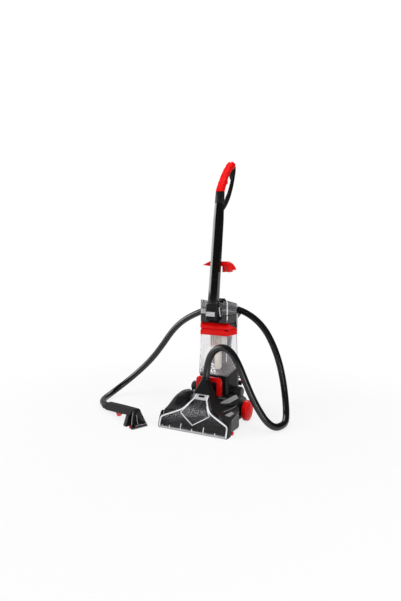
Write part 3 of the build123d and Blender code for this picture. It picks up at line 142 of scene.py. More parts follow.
link(tree, path.outputs["Is Camera Ray"], direct.inputs[0])
link(tree, path.outputs["Is Transmission Ray"], direct.inputs[1])
glossMix = tree.nodes.new("ShaderNodeMixShader")
worldMix = tree.nodes.new("ShaderNodeMixShader")
link(tree, path.outputs["Is Glossy Ray"], glossMix.inputs[0])
link(tree, ambient.outputs[0], glossMix.inputs[1])
link(tree, room.outputs[0], glossMix.inputs[2])
link(tree, direct.outputs[0], worldMix.inputs[0])
link(tree, glossMix.outputs[0], worldMix.inputs[1])
link(tree, white.outputs[0], worldMix.inputs[2])
link(tree, worldMix.outputs[0], tree.nodes["World Output"].inputs["Surface"])

clearSelection()
bpy.ops.mesh.primitive_plane_add(size=studio["floorSize"], location=(0, 0, -studio["floorDrop"]))
floor = bpy.context.object
floor.name = "floor"
floorMaterial = bpy.data.materials.new("paleFloor")
floorMaterial.use_nodes = True
tree = floorMaterial.node_tree
matte = tree.nodes["Principled BSDF"]
matte.inputs["Base Color"].default_value = (*studio["floorColor"], 1)
matte.inputs["Roughness"].default_value = studio["floorRough"]
matte.inputs["Specular IOR Level"].default_value = studio["floorShine"]
glow = tree.nodes.new("ShaderNodeEmission")
spot = tree.nodes.new("ShaderNodeTexCoord")
reach = tree.nodes.new("ShaderNodeVectorMath")
reach.operation = "LENGTH"
fade = tree.nodes.new("ShaderNodeMapRange")  # floor runs out to pure white away from the object
fade.interpolation_type = "SMOOTHSTEP"
fade.inputs["From Min"].default_value = studio["fadeStart"]
fade.inputs["From Max"].default_value = studio["fadeEnd"]
fade.inputs["To Min"].default_value = studio["floorNear"]
share = tree.nodes.new("ShaderNodeMath")
share.operation = "MULTIPLY"
floorMix = tree.nodes.new("ShaderNodeMixShader")
link(tree, spot.outputs["Object"], reach.inputs[0])
link(tree, reach.outputs["Value"], fade.inputs["Value"])
link(tree, lightPathMask(tree), share.inputs[0])
link(tree, fade.outputs[0], share.inputs[1])
link(tree, share.outputs[0], floorMix.inputs[0])
link(tree, matte.outputs[0], floorMix.inputs[1])
link(tree, glow.outputs[0], floorMix.inputs[2])
link(tree, floorMix.outputs[0], tree.nodes["Material Output"].inputs["Surface"])
floor.data.materials.append(floorMaterial)

lamps = {  # soft lamps light the object, mirror panels show only in gloss
    "keyLeft": {"spot": (-1.9, -1.6, 1.9), "size": (1.2, 1.8), "watts": 34, "toward": (0, 0.2, 0.5)},
    "fillRight": {"spot": (2.3, -0.9, 1.5), "size": (0.9, 1.8), "watts": 24, "toward": (0, 0.2, 0.4)},
    "topSoft": {"spot": (0.1, 0.0, 2.7), "size": (2.0, 2.0), "watts": 26, "toward": (0, 0.15, 0)},
    "panelLeft": {"spot": (-1.9, -0.55, 1.1), "size": (1.3, 1.1), "watts": 34, "toward": (0, 0.2, 0.9),
                  "mirror": True},
    "panelRight": {"spot": (1.15, -0.95, 0.22), "size": (0.32, 0.4), "watts": 6, "toward": (0, 0.2, 0.3),
                   "mirror": True},
    "panelBack": {"spot": (-1.0, 1.5, 1.8), "size": (1.2, 0.6), "watts": 22, "toward": (0, 0.2, 0.3),
                  "mirror": True},
}
for name, lamp in lamps.items():
    light = bpy.data.lights.new(name, "AREA")
    light.shape = "RECTANGLE"
    light.size, light.size_y = lamp["size"]
    light.energy = lamp["watts"]
    holder = bpy.data.objects.new(name, light)
    bpy.context.scene.collection.objects.link(holder)
    holder.visible_glossy = lamp.get("mirror", False)
    holder.visible_diffuse = not lamp.get("mirror", False)
    holder.visible_camera = False
    holder.location = lamp["spot"]
    aim = Vector(lamp["toward"]) - Vector(lamp["spot"])
    holder.rotation_euler = aim.to_track_quat("-Z", "Y").to_euler()
print("studio ready")


# shared surface effects
def newGroup(name, inputs, outputs):
    group = bpy.data.node_groups.new(name, "ShaderNodeTree")
    for label, value in inputs.items():
        socket = group.interface.new_socket(label, in_out="INPUT", socket_type="NodeSocketFloat")
        socket.default_value = value
    for label in outputs:
        group.interface.new_socket(label, in_out="OUTPUT", socket_type="NodeSocketFloat")
    return group, group.nodes.new("NodeGroupInput"), group.nodes.new("NodeGroupOutput")


# moulded grain: fine texture height plus a slow cloud for colour and gloss
grainShape = {"grain": 900.0, "grainDetail": 3, "cloud": 9.0, "cloudDetail": 4, "tintLow": -0.6,
              "tintHigh": 1.6, "roughSpread": 0.05, "bumpDepth": 0.00004}
mouldGrain, groupIn, groupOut = newGroup(
    "mouldGrain", {"Grain Scale": grainShape["grain"], "Cloud Scale": grainShape["cloud"]},
    ("Height", "Cloud"))
place = mouldGrain.nodes.new("ShaderNodeTexCoord")
fine = mouldGrain.nodes.new("ShaderNodeTexNoise")
fine.inputs["Detail"].default_value = grainShape["grainDetail"]
cloud = mouldGrain.nodes.new("ShaderNodeTexNoise")
cloud.inputs["Detail"].default_value = grainShape["cloudDetail"]
link(mouldGrain, place.outputs["Object"], fine.inputs["Vector"])
link(mouldGrain, place.outputs["Object"], cloud.inputs["Vector"])
link(mouldGrain, groupIn.outputs["Grain Scale"], fine.inputs["Scale"])
link(mouldGrain, groupIn.outputs["Cloud Scale"], cloud.inputs["Scale"])
link(mouldGrain, fine.outputs[0], groupOut.inputs["Height"])
link(mouldGrain, cloud.outputs[0], groupOut.inputs["Cloud"])

# light scuffs: thin stretched streaks that dull the gloss
scuffShape = {"scale": 55.0, "amount": 0.2, "stretch": (1.0, 1.0, 7.0), "turn": (0.4, 0.9, 0.2),
              "detail": 6, "start": 0.56, "end": 0.72}
scuffMarks, groupIn, groupOut = newGroup(
    "scuffMarks", {"Scale": scuffShape["scale"], "Amount": scuffShape["amount"]}, ("Scuff",))
place = scuffMarks.nodes.new("ShaderNodeTexCoord")
stretch = scuffMarks.nodes.new("ShaderNodeMapping")
stretch.inputs["Scale"].default_value = scuffShape["stretch"]
stretch.inputs["Rotation"].default_value = scuffShape["turn"]
streak = scuffMarks.nodes.new("ShaderNodeTexNoise")
streak.inputs["Detail"].default_value = scuffShape["detail"]
steep = scuffMarks.nodes.new("ShaderNodeMapRange")
steep.inputs["From Min"].default_value = scuffShape["start"]
steep.inputs["From Max"].default_value = scuffShape["end"]
weigh = scuffMarks.nodes.new("ShaderNodeMath")
weigh.operation = "MULTIPLY"
link(scuffMarks, place.outputs["Object"], stretch.inputs["Vector"])
link(scuffMarks, stretch.outputs[0], streak.inputs["Vector"])
link(scuffMarks, groupIn.outputs["Scale"], streak.inputs["Scale"])
link(scuffMarks, streak.outputs[0], steep.inputs["Value"])
link(scuffMarks, steep.outputs[0], weigh.inputs[0])
link(scuffMarks, groupIn.outputs["Amount"], weigh.inputs[1])
link(scuffMarks, weigh.outputs[0], groupOut.inputs["Scuff"])


def placeGroup(tree, group, values):
    box = tree.nodes.new("ShaderNodeGroup")
    box.node_tree = group
    for label, value in values.items():
        box.inputs[label].default_value = value
    return box


def ramp(tree, source, low, high):
    fit = tree.nodes.new("ShaderNodeMapRange")
    fit.inputs["To Min"].default_value = low
    fit.inputs["To Max"].default_value = high
    link(tree, source, fit.inputs["Value"])
    return fit.outputs[0]


plainSockets = {  # key in a look, and the value where the look gives none
    "Metallic": ("metal", 0.0), "Specular IOR Level": ("specular", 0.5), "Coat Weight": ("coat", 0.0),
    "Coat Roughness": ("coatRough", 0.06), "IOR": ("ior", 1.48), "Transmission Weight": ("clear", 0.0),
}


def finishMaterial(name, look):
    material = bpy.data.materials.new(name)
    material.use_nodes = True
    tree = material.node_tree
    shader = tree.nodes["Principled BSDF"]
    grain = placeGroup(tree, mouldGrain, {"Grain Scale": look["grain"], "Cloud Scale": grainShape["cloud"]})
    scuffAmount = look.get("scuff", scuffShape["amount"])
    scuff = placeGroup(tree, scuffMarks, {"Scale": scuffShape["scale"], "Amount": scuffAmount})
    tint = tree.nodes.new("ShaderNodeMix")
    tint.data_type = "RGBA"
    tint.inputs["A"].default_value = (*look["color"], 1)
    tint.inputs["B"].default_value = (*look["shade"], 1)
    cloud = grain.outputs["Cloud"]
    link(tree, ramp(tree, cloud, grainShape["tintLow"], grainShape["tintHigh"]), tint.inputs["Factor"])
    link(tree, tint.outputs["Result"], shader.inputs["Base Color"])
    dull = tree.nodes.new("ShaderNodeMath")
    dull.operation = "ADD"
    spread = grainShape["roughSpread"]
    link(tree, ramp(tree, cloud, look["rough"] - spread, look["rough"] + spread), dull.inputs[0])
    link(tree, scuff.outputs["Scuff"], dull.inputs[1])
    link(tree, dull.outputs[0], shader.inputs["Roughness"])
    bump = tree.nodes.new("ShaderNodeBump")
    bump.inputs["Strength"].default_value = look["bump"]
    bump.inputs["Distance"].default_value = grainShape["bumpDepth"]
    link(tree, grain.outputs["Height"], bump.inputs["Height"])
    link(tree, bump.outputs[0], shader.inputs["Normal"])
    for socket, (key, usual) in plainSockets.items():
        shader.inputs[socket].default_value = look.get(key, usual)
    return material


looks = {
    "red": {"color": (0.84, 0.004, 0.004), "shade": (0.74, 0.003, 0.003), "rough": 0.3, "grain": 700,
            "bump": 0.02, "specular": 0.16, "coat": 0.04, "scuff": 0.03},
    "black_gloss": {"color": (0.003, 0.003, 0.0035), "shade": (0.005, 0.005, 0.0055), "rough": 0.12,
                    "grain": 700, "bump": 0.04, "specular": 0.45, "coat": 0.15, "scuff": 0.08},
    "black_satin": {"color": (0.006, 0.006, 0.0065), "shade": (0.010, 0.010, 0.011), "rough": 0.36,
                    "grain": 800, "bump": 0.2, "specular": 0.22, "scuff": 0.1},
    "shellBlack": {"color": (0.013, 0.013, 0.014), "shade": (0.020, 0.020, 0.021), "rough": 0.38,
                   "grain": 800, "bump": 0.2, "specular": 0.3, "scuff": 0.1},
    "grey_dark": {"color": (0.034, 0.034, 0.036), "shade": (0.05, 0.05, 0.053), "rough": 0.4, "grain": 800,
                  "bump": 0.3, "specular": 0.35, "scuff": 0.1},
    "grey_light": {"color": (0.55, 0.55, 0.57), "shade": (0.46, 0.46, 0.48), "rough": 0.28, "grain": 700,
                   "bump": 0.1, "scuff": 0.08},
    "satinGrey": {"color": (0.30, 0.30, 0.31), "shade": (0.37, 0.37, 0.38), "rough": 0.38, "grain": 900,
                  "bump": 0.3, "scuff": 0.08},
    "midGrey": {"color": (0.085, 0.085, 0.09), "shade": (0.11, 0.11, 0.115), "rough": 0.4, "grain": 900,
                "bump": 0.2, "scuff": 0.08},
    # near-white gloss for beads that paint highlights on edges and corners
    "highlightWhite": {"color": (0.88, 0.88, 0.90), "shade": (0.80, 0.80, 0.83), "rough": 0.16, "grain": 300,
                  "bump": 0.05, "coat": 0.3, "scuff": 0.04},
    "clear": {"color": (0.96, 0.95, 0.96), "shade": (0.92, 0.91, 0.93), "rough": 0.07, "grain": 40,
              "bump": 0.05, "clear": 0.93, "ior": 1.2, "scuff": 0.05},
    "smoke": {"color": (0.58, 0.58, 0.60), "shade": (0.50, 0.50, 0.52), "rough": 0.13, "grain": 60,
              "bump": 0.05, "clear": 1.0, "scuff": 0.05},
    "smokeDark": {"color": (0.20, 0.20, 0.21), "shade": (0.14, 0.14, 0.15), "rough": 0.08, "grain": 60,
                  "bump": 0.05, "clear": 1.0, "scuff": 0.05},
    "toolBlack": {"color": (0.006, 0.006, 0.0065), "shade": (0.011, 0.011, 0.012), "rough": 0.42,
                  "grain": 800, "bump": 0.2, "specular": 0.1, "scuff": 0.08},
    "beige": {"color": (0.74, 0.70, 0.62), "shade": (0.66, 0.62, 0.54), "rough": 0.4, "grain": 800,
              "bump": 0.15},
    "rubber_black": {"color": (0.007, 0.007, 0.007), "shade": (0.013, 0.013, 0.013), "rough": 0.6,
                     "grain": 600, "bump": 0.5, "specular": 0.3},
    "steel": {"color": (0.6, 0.6, 0.62), "shade": (0.48, 0.48, 0.5), "rough": 0.3, "grain": 500,
              "bump": 0.1, "metal": 1.0},
    "motor_metal": {"color": (0.36, 0.36, 0.38), "shade": (0.28, 0.28, 0.3), "rough": 0.45, "grain": 400,
                    "bump": 0.2, "metal": 1.0},
    "bristle_black": {"color": (0.012, 0.012, 0.012), "shade": (0.03, 0.03, 0.03), "rough": 0.5,
                      "grain": 500, "bump": 0.3},
    "bristle_red": {"color": (0.5, 0.012, 0.010), "shade": (0.36, 0.01, 0.01), "rough": 0.5, "grain": 500,
                    "bump": 0.3},
    "hose_black": {"color": (0.004, 0.004, 0.0045), "shade": (0.008, 0.008, 0.0085), "rough": 0.2,
                   "grain": 700, "bump": 0.05, "specular": 0.5, "scuff": 0.03},
}
finishes = {name: finishMaterial(name, look) for name, look in looks.items()}
slotOf = {row["node"]: row["material_slot"] for row in frame["record"]["subparts"]}


def paint(piece, finish):
    piece.data.materials.clear()
    piece.data.materials.append(finishes[finish])


for node, piece in nodes.items():
    paint(piece, slotOf[node])
print("materials on all nodes")


# softened copies: a moulding's own mesh, merged, with its edges rounded
smoothAngle = math.radians(38)
softEdges = {"merge": 0.00002, "flat": math.radians(0.6), "angle": math.radians(30), "segments": 2,
             "weight": 90}


def applyStep(piece, kind, **settings):  # modifier on the picked piece, set and applied at once
    step = piece.modifiers.new(kind.lower(), kind)
    for label, value in settings.items():
        setattr(step, label, value)
    bpy.ops.object.modifier_apply(modifier=step.name)


def soften(node, label, width):
    piece = bpy.data.objects.new(label, nodes[node].data.copy())
    bpy.context.scene.collection.objects.link(piece)
    pick(piece)
    bpy.ops.object.mode_set(mode="EDIT")
    bpy.ops.mesh.select_all(action="SELECT")
    bpy.ops.mesh.remove_doubles(threshold=softEdges["merge"])
    bpy.ops.mesh.dissolve_limited(angle_limit=softEdges["flat"])
    bpy.ops.object.mode_set(mode="OBJECT")
    if width:
        applyStep(piece, "BEVEL", width=width, segments=softEdges["segments"], limit_method="ANGLE",
                  angle_limit=softEdges["angle"], use_clamp_overlap=False)
    bpy.ops.object.shade_smooth_by_angle(angle=smoothAngle)
    # broad faces set the shading
    applyStep(piece, "WEIGHTED_NORMAL", weight=softEdges["weight"], keep_sharp=True)
    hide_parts(node)
    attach(piece, bodyOf[node])
    return piece


softened = {
    "hood": ("headShell", 0.0018), "end_cap_right": ("endCapRight", 0), "end_cap_left": ("endCapLeft", 0),
    "motor_housing": ("motorShell", 0), "upper_housing": ("upperShell", 0.0016),
    "tank_lid": ("lidShell", 0.0014),
    "dirty_tank": ("tankShell", 0.0008), "clean_tank": ("waterShell", 0.0012),
    "pole_collar": ("poleCollar", 0), "grip_front": ("gripShell", 0), "grip_loop": ("gripLoop", 0),
    "lock_lever": ("leverBow", 0), "tool_hook": ("hookShelf", 0.0012),
    "hose_adapter": ("adapterShell", 0.001),
    "nozzle_cover": ("nozzleShell", 0.0006), "wheel_right": ("wheelRight", 0.0008),
    "wheel_left": ("wheelLeft", 0.0008),
    "hub_cap_right": ("hubDomeRight", 0), "hub_cap_left": ("hubDomeLeft", 0),
    "back_spine": ("spineDuct", 0.001),
}
shown = dict(nodes)
for node, (label, width) in softened.items():
    shown[node] = soften(node, label, width)
ownFinish = {"back_spine": "midGrey", "hood": "shellBlack", "tool_shell": "toolBlack",
             "tool_nozzle": "smokeDark"}
for node, finish in ownFinish.items():
    paint(shown[node], finish)
print("softened copies:", len(softened))

# grip: filled out a little, one even skin
gripSkin = {"grip_front": 0.0026, "grip_loop": 0.0018, "voxel": 0.0011, "smooth": 6}
for node in ("grip_front", "grip_loop"):
    piece = shown[node]
    pick(piece)
    applyStep(piece, "DISPLACE", mid_level=0, strength=gripSkin[node])
    applyStep(piece, "REMESH", mode="VOXEL", voxel_size=gripSkin["voxel"])
    applyStep(piece, "SMOOTH", iterations=gripSkin["smooth"])
    high = [max(vertex.co[axis] for vertex in piece.data.vertices) for axis in range(3)]
    inset = [min(limit - reach, 0) for limit, reach in zip(cadBox[1], high)]  # kept inside the part's box
    piece.data.transform(Matrix.Translation(inset))
    bpy.ops.object.shade_smooth()
print("grip filled out")


# tools for added pieces
above = 0.25  # height from which pads and wires drop onto a shell
handTools = {"start": 0.001, "near": 0.0002, "cornerSteps": 4, "beadSmooth": math.radians(45),
             "merge": 0.0001,
             "plateSteps": 3, "rimSteps": 2, "rimAngle": math.radians(50), "touch": 0.000001}


def settle(piece, finish, body):
    paint(piece, finish)
    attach(piece, body)
    return piece


def drawWire(label, runs):  # one vertex pulled along each run of points
    clearSelection()
    bpy.ops.mesh.primitive_plane_add(size=handTools["start"])
    wire = bpy.context.object
    wire.name = label
    bpy.ops.object.mode_set(mode="EDIT")
    bpy.ops.mesh.select_mode(type="VERT")
    bpy.ops.mesh.select_all(action="SELECT")
    bpy.ops.mesh.merge(type="CENTER")
    bpy.ops.transform.translate(value=runs[0][0])
    for number, run in enumerate(runs):
        if number:
            hop = Vector(run[0]) - Vector(runs[number - 1][-1])
            bpy.ops.mesh.duplicate_move(TRANSFORM_OT_translate={"value": hop})
        for here, there in zip(run, run[1:]):
            step = Vector(there) - Vector(here)
            bpy.ops.mesh.extrude_vertices_move(TRANSFORM_OT_translate={"value": step})
    bpy.ops.object.mode_set(mode="OBJECT")
    return wire


def roundCorner(wire, spot, reach):  # vertex bevel on one corner of a wire
    pick(wire)
    bpy.ops.object.mode_set(mode="EDIT")
    bpy.ops.mesh.select_mode(type="VERT")
    bpy.ops.mesh.select_all(action="DESELECT")
    bpy.ops.object.mode_set(mode="OBJECT")
    for vertex in wire.data.vertices:
        vertex.select = (vertex.co - Vector(spot)).length < handTools["near"]
    bpy.ops.object.mode_set(mode="EDIT")
    bpy.ops.mesh.bevel(offset=reach, segments=handTools["cornerSteps"], affect="VERTICES")
    bpy.ops.object.mode_set(mode="OBJECT")


def selectFaces(piece, wanted):  # leaves edit mode on with the wanted faces picked
    pick(piece)
    bpy.ops.object.mode_set(mode="EDIT")
    bpy.ops.mesh.select_mode(type="FACE")
    bpy.ops.mesh.select_all(action="DESELECT")
    bpy.ops.object.mode_set(mode="OBJECT")
    for face in piece.data.polygons:
        face.select = wanted(face.center)
    bpy.ops.object.mode_set(mode="EDIT")


def divide(wire, cuts):
    pick(wire)
    bpy.ops.object.mode_set(mode="EDIT")
    bpy.ops.mesh.select_all(action="SELECT")
    bpy.ops.mesh.subdivide(number_cuts=cuts)
    bpy.ops.object.mode_set(mode="OBJECT")


def thicken(wire, radius, sides=2):  # wire to round bead
    pick(wire)
    bpy.ops.object.convert(target="CURVE")
    line = bpy.context.object.data
    line.dimensions = "3D"
    line.bevel_depth = radius
    line.bevel_resolution = sides
    line.use_fill_caps = True
    bpy.ops.object.convert(target="MESH")
    piece = bpy.context.object
    bpy.ops.object.shade_smooth_by_angle(angle=handTools["beadSmooth"])
    return piece


def levelAt(table, place):  # value between the rows of a table
    for (near, low), (far, high) in zip(table, table[1:]):
        if place <= far + handTools["touch"]:
            return low + (high - low) * (place - near) / (far - near)
    return table[-1][1]


def circleTurns(sides):  # angles once round, with the first one again at the end
    return [2 * math.pi * step / sides for step in range(sides + 1)]


def newGrid(label, columns, rows):
    clearSelection()
    bpy.ops.mesh.primitive_grid_add(x_subdivisions=columns, y_subdivisions=rows, size=2)
    sheet = bpy.context.object
    sheet.name = label
    return sheet


def faceOutwards():
    bpy.ops.object.mode_set(mode="EDIT")
    bpy.ops.mesh.select_all(action="SELECT")
    bpy.ops.mesh.normals_make_consistent(inside=False)
    bpy.ops.object.mode_set(mode="OBJECT")


def giveWall(sheet, thick, alongNormals):  # thickness on the normals' side or against it
    applyStep(sheet, "SOLIDIFY", thickness=thick, offset=1 if alongNormals else -1)


def roundEdges(piece, rim):
    applyStep(piece, "BEVEL", width=rim, segments=handTools["rimSteps"], limit_method="ANGLE",
              angle_limit=handTools["rimAngle"])


def dropOnto(piece, target, lift):  # lowers a wire or sheet onto a shell
    pick(piece)
    applyStep(piece, "SHRINKWRAP", wrap_method="PROJECT", use_project_z=True, use_negative_direction=True,
              use_positive_direction=False, target=target, offset=lift)


def layPad(label, corners, target, thick):  # thin pad laid down on a shell
    pad = newGrid(label, *padShape["steps"])
    first, second, third, fourth = [Vector((*corner, above)) for corner in corners]
    for vertex in pad.data.vertices:
        along = (vertex.co.x + 1) / 2
        across = (vertex.co.y + 1) / 2
        near = first.lerp(second, along)
        vertex.co = near.lerp(fourth.lerp(third, along), across)
    dropOnto(pad, target, padShape["lift"])
    faceOutwards()
    giveWall(pad, thick, pad.data.polygons[0].normal.z > 0)
    roundEdges(pad, padShape["rim"])
    bpy.ops.object.shade_smooth_by_angle(angle=smoothAngle)
    return pad


# nozzle cover: near-white beads along the rim and the raised lines as painted highlights where these edges
# catch light, a lip, neck window
noseArc = {"middleY": 0.19466, "middleZ": -0.05068, "radius": 0.2045, "lipTop": 0.012}


def noseY(z, out):  # depth of the cover's front at a height
    if z < noseArc["lipTop"]:
        return -out
    return noseArc["middleY"] - math.sqrt((noseArc["radius"] + out) ** 2 - (z - noseArc["middleZ"]) ** 2)


def layOnNose(piece, out):
    for vertex in piece.data.vertices:
        vertex.co.y = noseY(vertex.co.z, out)


noseRim = {"radius": 0.0031, "out": 0.0006, "cuts": 7, "sides": 3,
           "line": [(0.1468, 0.005), (0.1468, 0.0418), (0.0601, 0.0763), (0.0268, 0.1148), (0.0268, 0.126)],
           "rounding": [None, 0.0088, 0.0117, 0.0074, None]}
# near-white bead round the rim: a painted highlight
noseRimGlint = drawWire("noseRimGlint", [[(turn * x, 0, z) for x, z in noseRim["line"]] for turn in (1, -1)])
for turn in (1, -1):
    for (x, z), reach in zip(noseRim["line"], noseRim["rounding"]):
        if reach:
            roundCorner(noseRimGlint, (turn * x, 0, z), reach)
divide(noseRimGlint, noseRim["cuts"])
layOnNose(noseRimGlint, noseRim["out"])
settle(thicken(noseRimGlint, noseRim["radius"], noseRim["sides"]), "highlightWhite", "head")

# near-white beads on the diamond and rib lines: painted highlights
noseLines = {"radius": 0.0017, "out": 0.0011, "cuts": 7, "foot": 0.006,
             "diamond": [(-0.040, 0.095), (-0.064, 0.066), (0, 0.029), (0.064, 0.066), (0.040, 0.095)],
             "ribs": [(-0.100, 0.0155), (-0.050, 0.0285), (0, 0.0155), (0.050, 0.0285), (0.100, 0.0155)]}
lineRuns = [[(x, 0, z) for x, z in noseLines["diamond"]]]
lineRuns += [[(x, 0, noseLines["foot"]), (x, 0, top)] for x, top in noseLines["ribs"]]
noseLineGlints = drawWire("noseLineGlints", lineRuns)
divide(noseLineGlints, noseLines["cuts"])
layOnNose(noseLineGlints, noseLines["out"])
settle(thicken(noseLineGlints, noseLines["radius"]), "highlightWhite", "head")

noseLip = {"radius": 0.0026, "halfWidth": 0.1475, "height": 0.0046, "out": 0.0004, "sides": 3}
noseLipBead = drawWire("noseLipBead", [[(-noseLip["halfWidth"], -noseLip["out"], noseLip["height"]),
                                        (noseLip["halfWidth"], -noseLip["out"], noseLip["height"])]])
settle(thicken(noseLipBead, noseLip["radius"], noseLip["sides"]), "grey_light", "head")

neckFrame = {"columns": [-0.0255, -0.0205, -0.0135, -0.0065, 0, 0.0065, 0.0135, 0.0205, 0.0255],
             "rows": [0.1115, 0.1145, 0.1185, 0.1215, 0.1245, 0.1275], "hole": (0.0135, 0.1185, 0.1245),
             "out": 0.0006, "wall": 0.0018, "rim": 0.0005, "paneWall": 0.0009, "paneRim": 0.0002,
             "paneLap": 0.001, "paneStep": 0.003, "paneBack": 0.0004}


def neckGrid(label, columns, rows, out):
    plate = newGrid(label, len(columns) - 1, len(rows) - 1)
    for vertex in plate.data.vertices:
        column = round((vertex.co.x + 1) / 2 * (len(columns) - 1))
        row = round((vertex.co.y + 1) / 2 * (len(rows) - 1))
        vertex.co = (columns[column], noseY(rows[row], out), rows[row])
    return plate


def wallAndEdges(plate, wall, rim):  # gives a sheet its thickness, outwards and to the front
    pick(plate)
    giveWall(plate, wall, plate.data.polygons[0].normal.y < 0)
    roundEdges(plate, rim)
    faceOutwards()
    bpy.ops.object.shade_smooth_by_angle(angle=smoothAngle)
    return plate


neckPlate = neckGrid("neckPlate", neckFrame["columns"], neckFrame["rows"], neckFrame["out"])
holeHalf, holeLow, holeHigh = neckFrame["hole"]
selectFaces(neckPlate, lambda spot: abs(spot.x) < holeHalf and holeLow < spot.z < holeHigh)
bpy.ops.mesh.delete(type="FACE")
bpy.ops.object.mode_set(mode="OBJECT")
settle(wallAndEdges(neckPlate, neckFrame["wall"], neckFrame["rim"]), "grey_light", "head")
lap = neckFrame["paneLap"]
paneColumns = [-holeHalf - lap, 0, holeHalf + lap]
paneRows = [holeLow - lap, holeLow + neckFrame["paneStep"], holeHigh + lap]
neckPane = neckGrid("neckPane", paneColumns, paneRows, neckFrame["out"] - neckFrame["paneBack"])
wallAndEdges(neckPane, neckFrame["paneWall"], neckFrame["paneRim"])
settle(neckPane, "black_gloss", "head")

neckBoss = {"spot": (0.003, 0.1035), "rings": [(0.0098, 0.0009), (0.0050, 0.0009)], "sides": 28,
            "out": 0.0008}
for number, (reach, bead) in enumerate(neckBoss["rings"]):
    middleX, middleZ = neckBoss["spot"]
    circle = [(middleX + reach * math.cos(turn), 0, middleZ + reach * math.sin(turn))
              for turn in circleTurns(neckBoss["sides"])]
    ring = drawWire("neckBossRing" + str(number + 1), [circle])
    layOnNose(ring, neckBoss["out"])
    settle(thicken(ring, bead), "midGrey", "head")
print("nozzle dressed")


def cutPlate(label, outline, depth, rim):  # flat plate from an outline, pulled to its depth
    plate = drawWire(label, [outline + outline[:1]])
    bpy.ops.object.mode_set(mode="EDIT")
    bpy.ops.mesh.select_all(action="SELECT")
    bpy.ops.mesh.remove_doubles(threshold=handTools["merge"])
    bpy.ops.mesh.edge_face_add()
    bpy.ops.mesh.extrude_region_move(TRANSFORM_OT_translate={"value": depth})
    bpy.ops.mesh.select_all(action="SELECT")
    bpy.ops.mesh.normals_make_consistent(inside=False)
    bpy.ops.object.mode_set(mode="OBJECT")
    applyStep(plate, "BEVEL", width=rim, segments=handTools["plateSteps"], limit_method="ANGLE")
    bpy.ops.object.shade_smooth_by_angle(angle=smoothAngle)
    return plate


# head shell: raised cover of the air intake on the left, its edges and heights given by depth
hoodShell = shown["hood"]
hump = {
    "front": 0.040, "back": 0.198, "columns": 20, "rows": 22, "outerX": -0.147, "outerCurve": 2.4,
    "innerCurve": 1.7, "wall": 0.003, "smooth": math.radians(45),
    "innerX": [(0.040, -0.074), (0.120, -0.068), (0.150, -0.080), (0.172, -0.090), (0.198, -0.090)],
    "crown": [(0.040, 0.066), (0.060, 0.078), (0.080, 0.094), (0.100, 0.107), (0.120, 0.113),
              (0.150, 0.1135), (0.180, 0.111), (0.192, 0.109), (0.198, 0.098)],
    "outer": [(0.040, 0.064), (0.080, 0.067), (0.120, 0.073), (0.145, 0.080), (0.160, 0.089),
              (0.198, 0.090)],
    "inner": [(0.040, 0.066), (0.080, 0.073), (0.120, 0.076), (0.160, 0.084), (0.198, 0.096)],
}

intakeHump = newGrid("intakeHump", hump["columns"], hump["rows"])
for vertex in intakeHump.data.vertices:
    across = math.sin(vertex.co.x * math.pi / 2)
    depth = hump["front"] + (hump["back"] - hump["front"]) * (vertex.co.y + 1) / 2
    innerX = levelAt(hump["innerX"], depth)
    foot = levelAt(hump["outer"] if across < 0 else hump["inner"], depth)
    curve = hump["outerCurve"] if across < 0 else hump["innerCurve"]
    rise = max(1 - abs(across) ** curve, 0) ** (1 / curve)
    vertex.co = ((hump["outerX"] + innerX) / 2 + (innerX - hump["outerX"]) / 2 * across, depth,
                 foot + (levelAt(hump["crown"], depth) - foot) * rise)
giveWall(intakeHump, hump["wall"], intakeHump.data.polygons[0].normal.z <= 0)  # the wall grows inwards
bpy.ops.object.shade_smooth_by_angle(angle=hump["smooth"])
settle(intakeHump, "shellBlack", "head")

# head shell: a gloss black band laid on it as painted shadow in the gap between the strip and the lower
# hood, a pad and slats, and shoulder strips
padShape = {"steps": (10, 6), "lift": 0.0002, "rim": 0.0006}
hoodPads = {
    # black band: a painted shadow in the gap under the strip
    "headShadowBand": {"corners": [(0.079, 0.121), (0.112, 0.138), (0.114, 0.152), (0.083, 0.132)],
                 "finish": "black_gloss", "slot": "black_gloss", "thick": 0.0012},
    "headPad": {"corners": [(0.113, 0.061), (0.134, 0.055), (0.142, 0.087), (0.124, 0.098)],
                "finish": "satinGrey", "slot": "grey_dark", "thick": 0.0018},
    "slatOuter": {"corners": [(-0.1225, 0.148), (-0.1190, 0.148), (-0.1135, 0.188), (-0.1170, 0.188)],
                  "finish": "satinGrey", "slot": "grey_dark", "thick": 0.0016, "on": intakeHump},
    "slatMiddle": {"corners": [(-0.1175, 0.148), (-0.1115, 0.148), (-0.1050, 0.188), (-0.1115, 0.188)],
                   "finish": "black_gloss", "slot": "black_gloss", "thick": 0.0010, "on": intakeHump},
    "slatInner": {"corners": [(-0.1105, 0.148), (-0.1075, 0.148), (-0.1000, 0.188), (-0.1035, 0.188)],
                  "finish": "satinGrey", "slot": "grey_dark", "thick": 0.0016, "on": intakeHump},
}
for label, pad in hoodPads.items():
    piece = layPad(label, pad["corners"], pad.get("on", hoodShell), pad["thick"])
    settle(piece, pad["finish"], "head")

shoulder = {"corners": [(0.056, 0.139, 0.0905), (0.089, 0.156, 0.0880), (0.1125, 0.204, 0.0985),
                        (0.098, 0.200, 0.1115)], "depth": 0.007, "rim": 0.0012}
for label, turn in (("shoulderRight", 1), ("shoulderLeft", -1)):  # satin strip up to the tower
    outline = [(turn * x, y, z) for x, y, z in shoulder["corners"]]
    plate = cutPlate(label, outline, (0, 0, -shoulder["depth"]), shoulder["rim"])
    settle(plate, "satinGrey", "head")

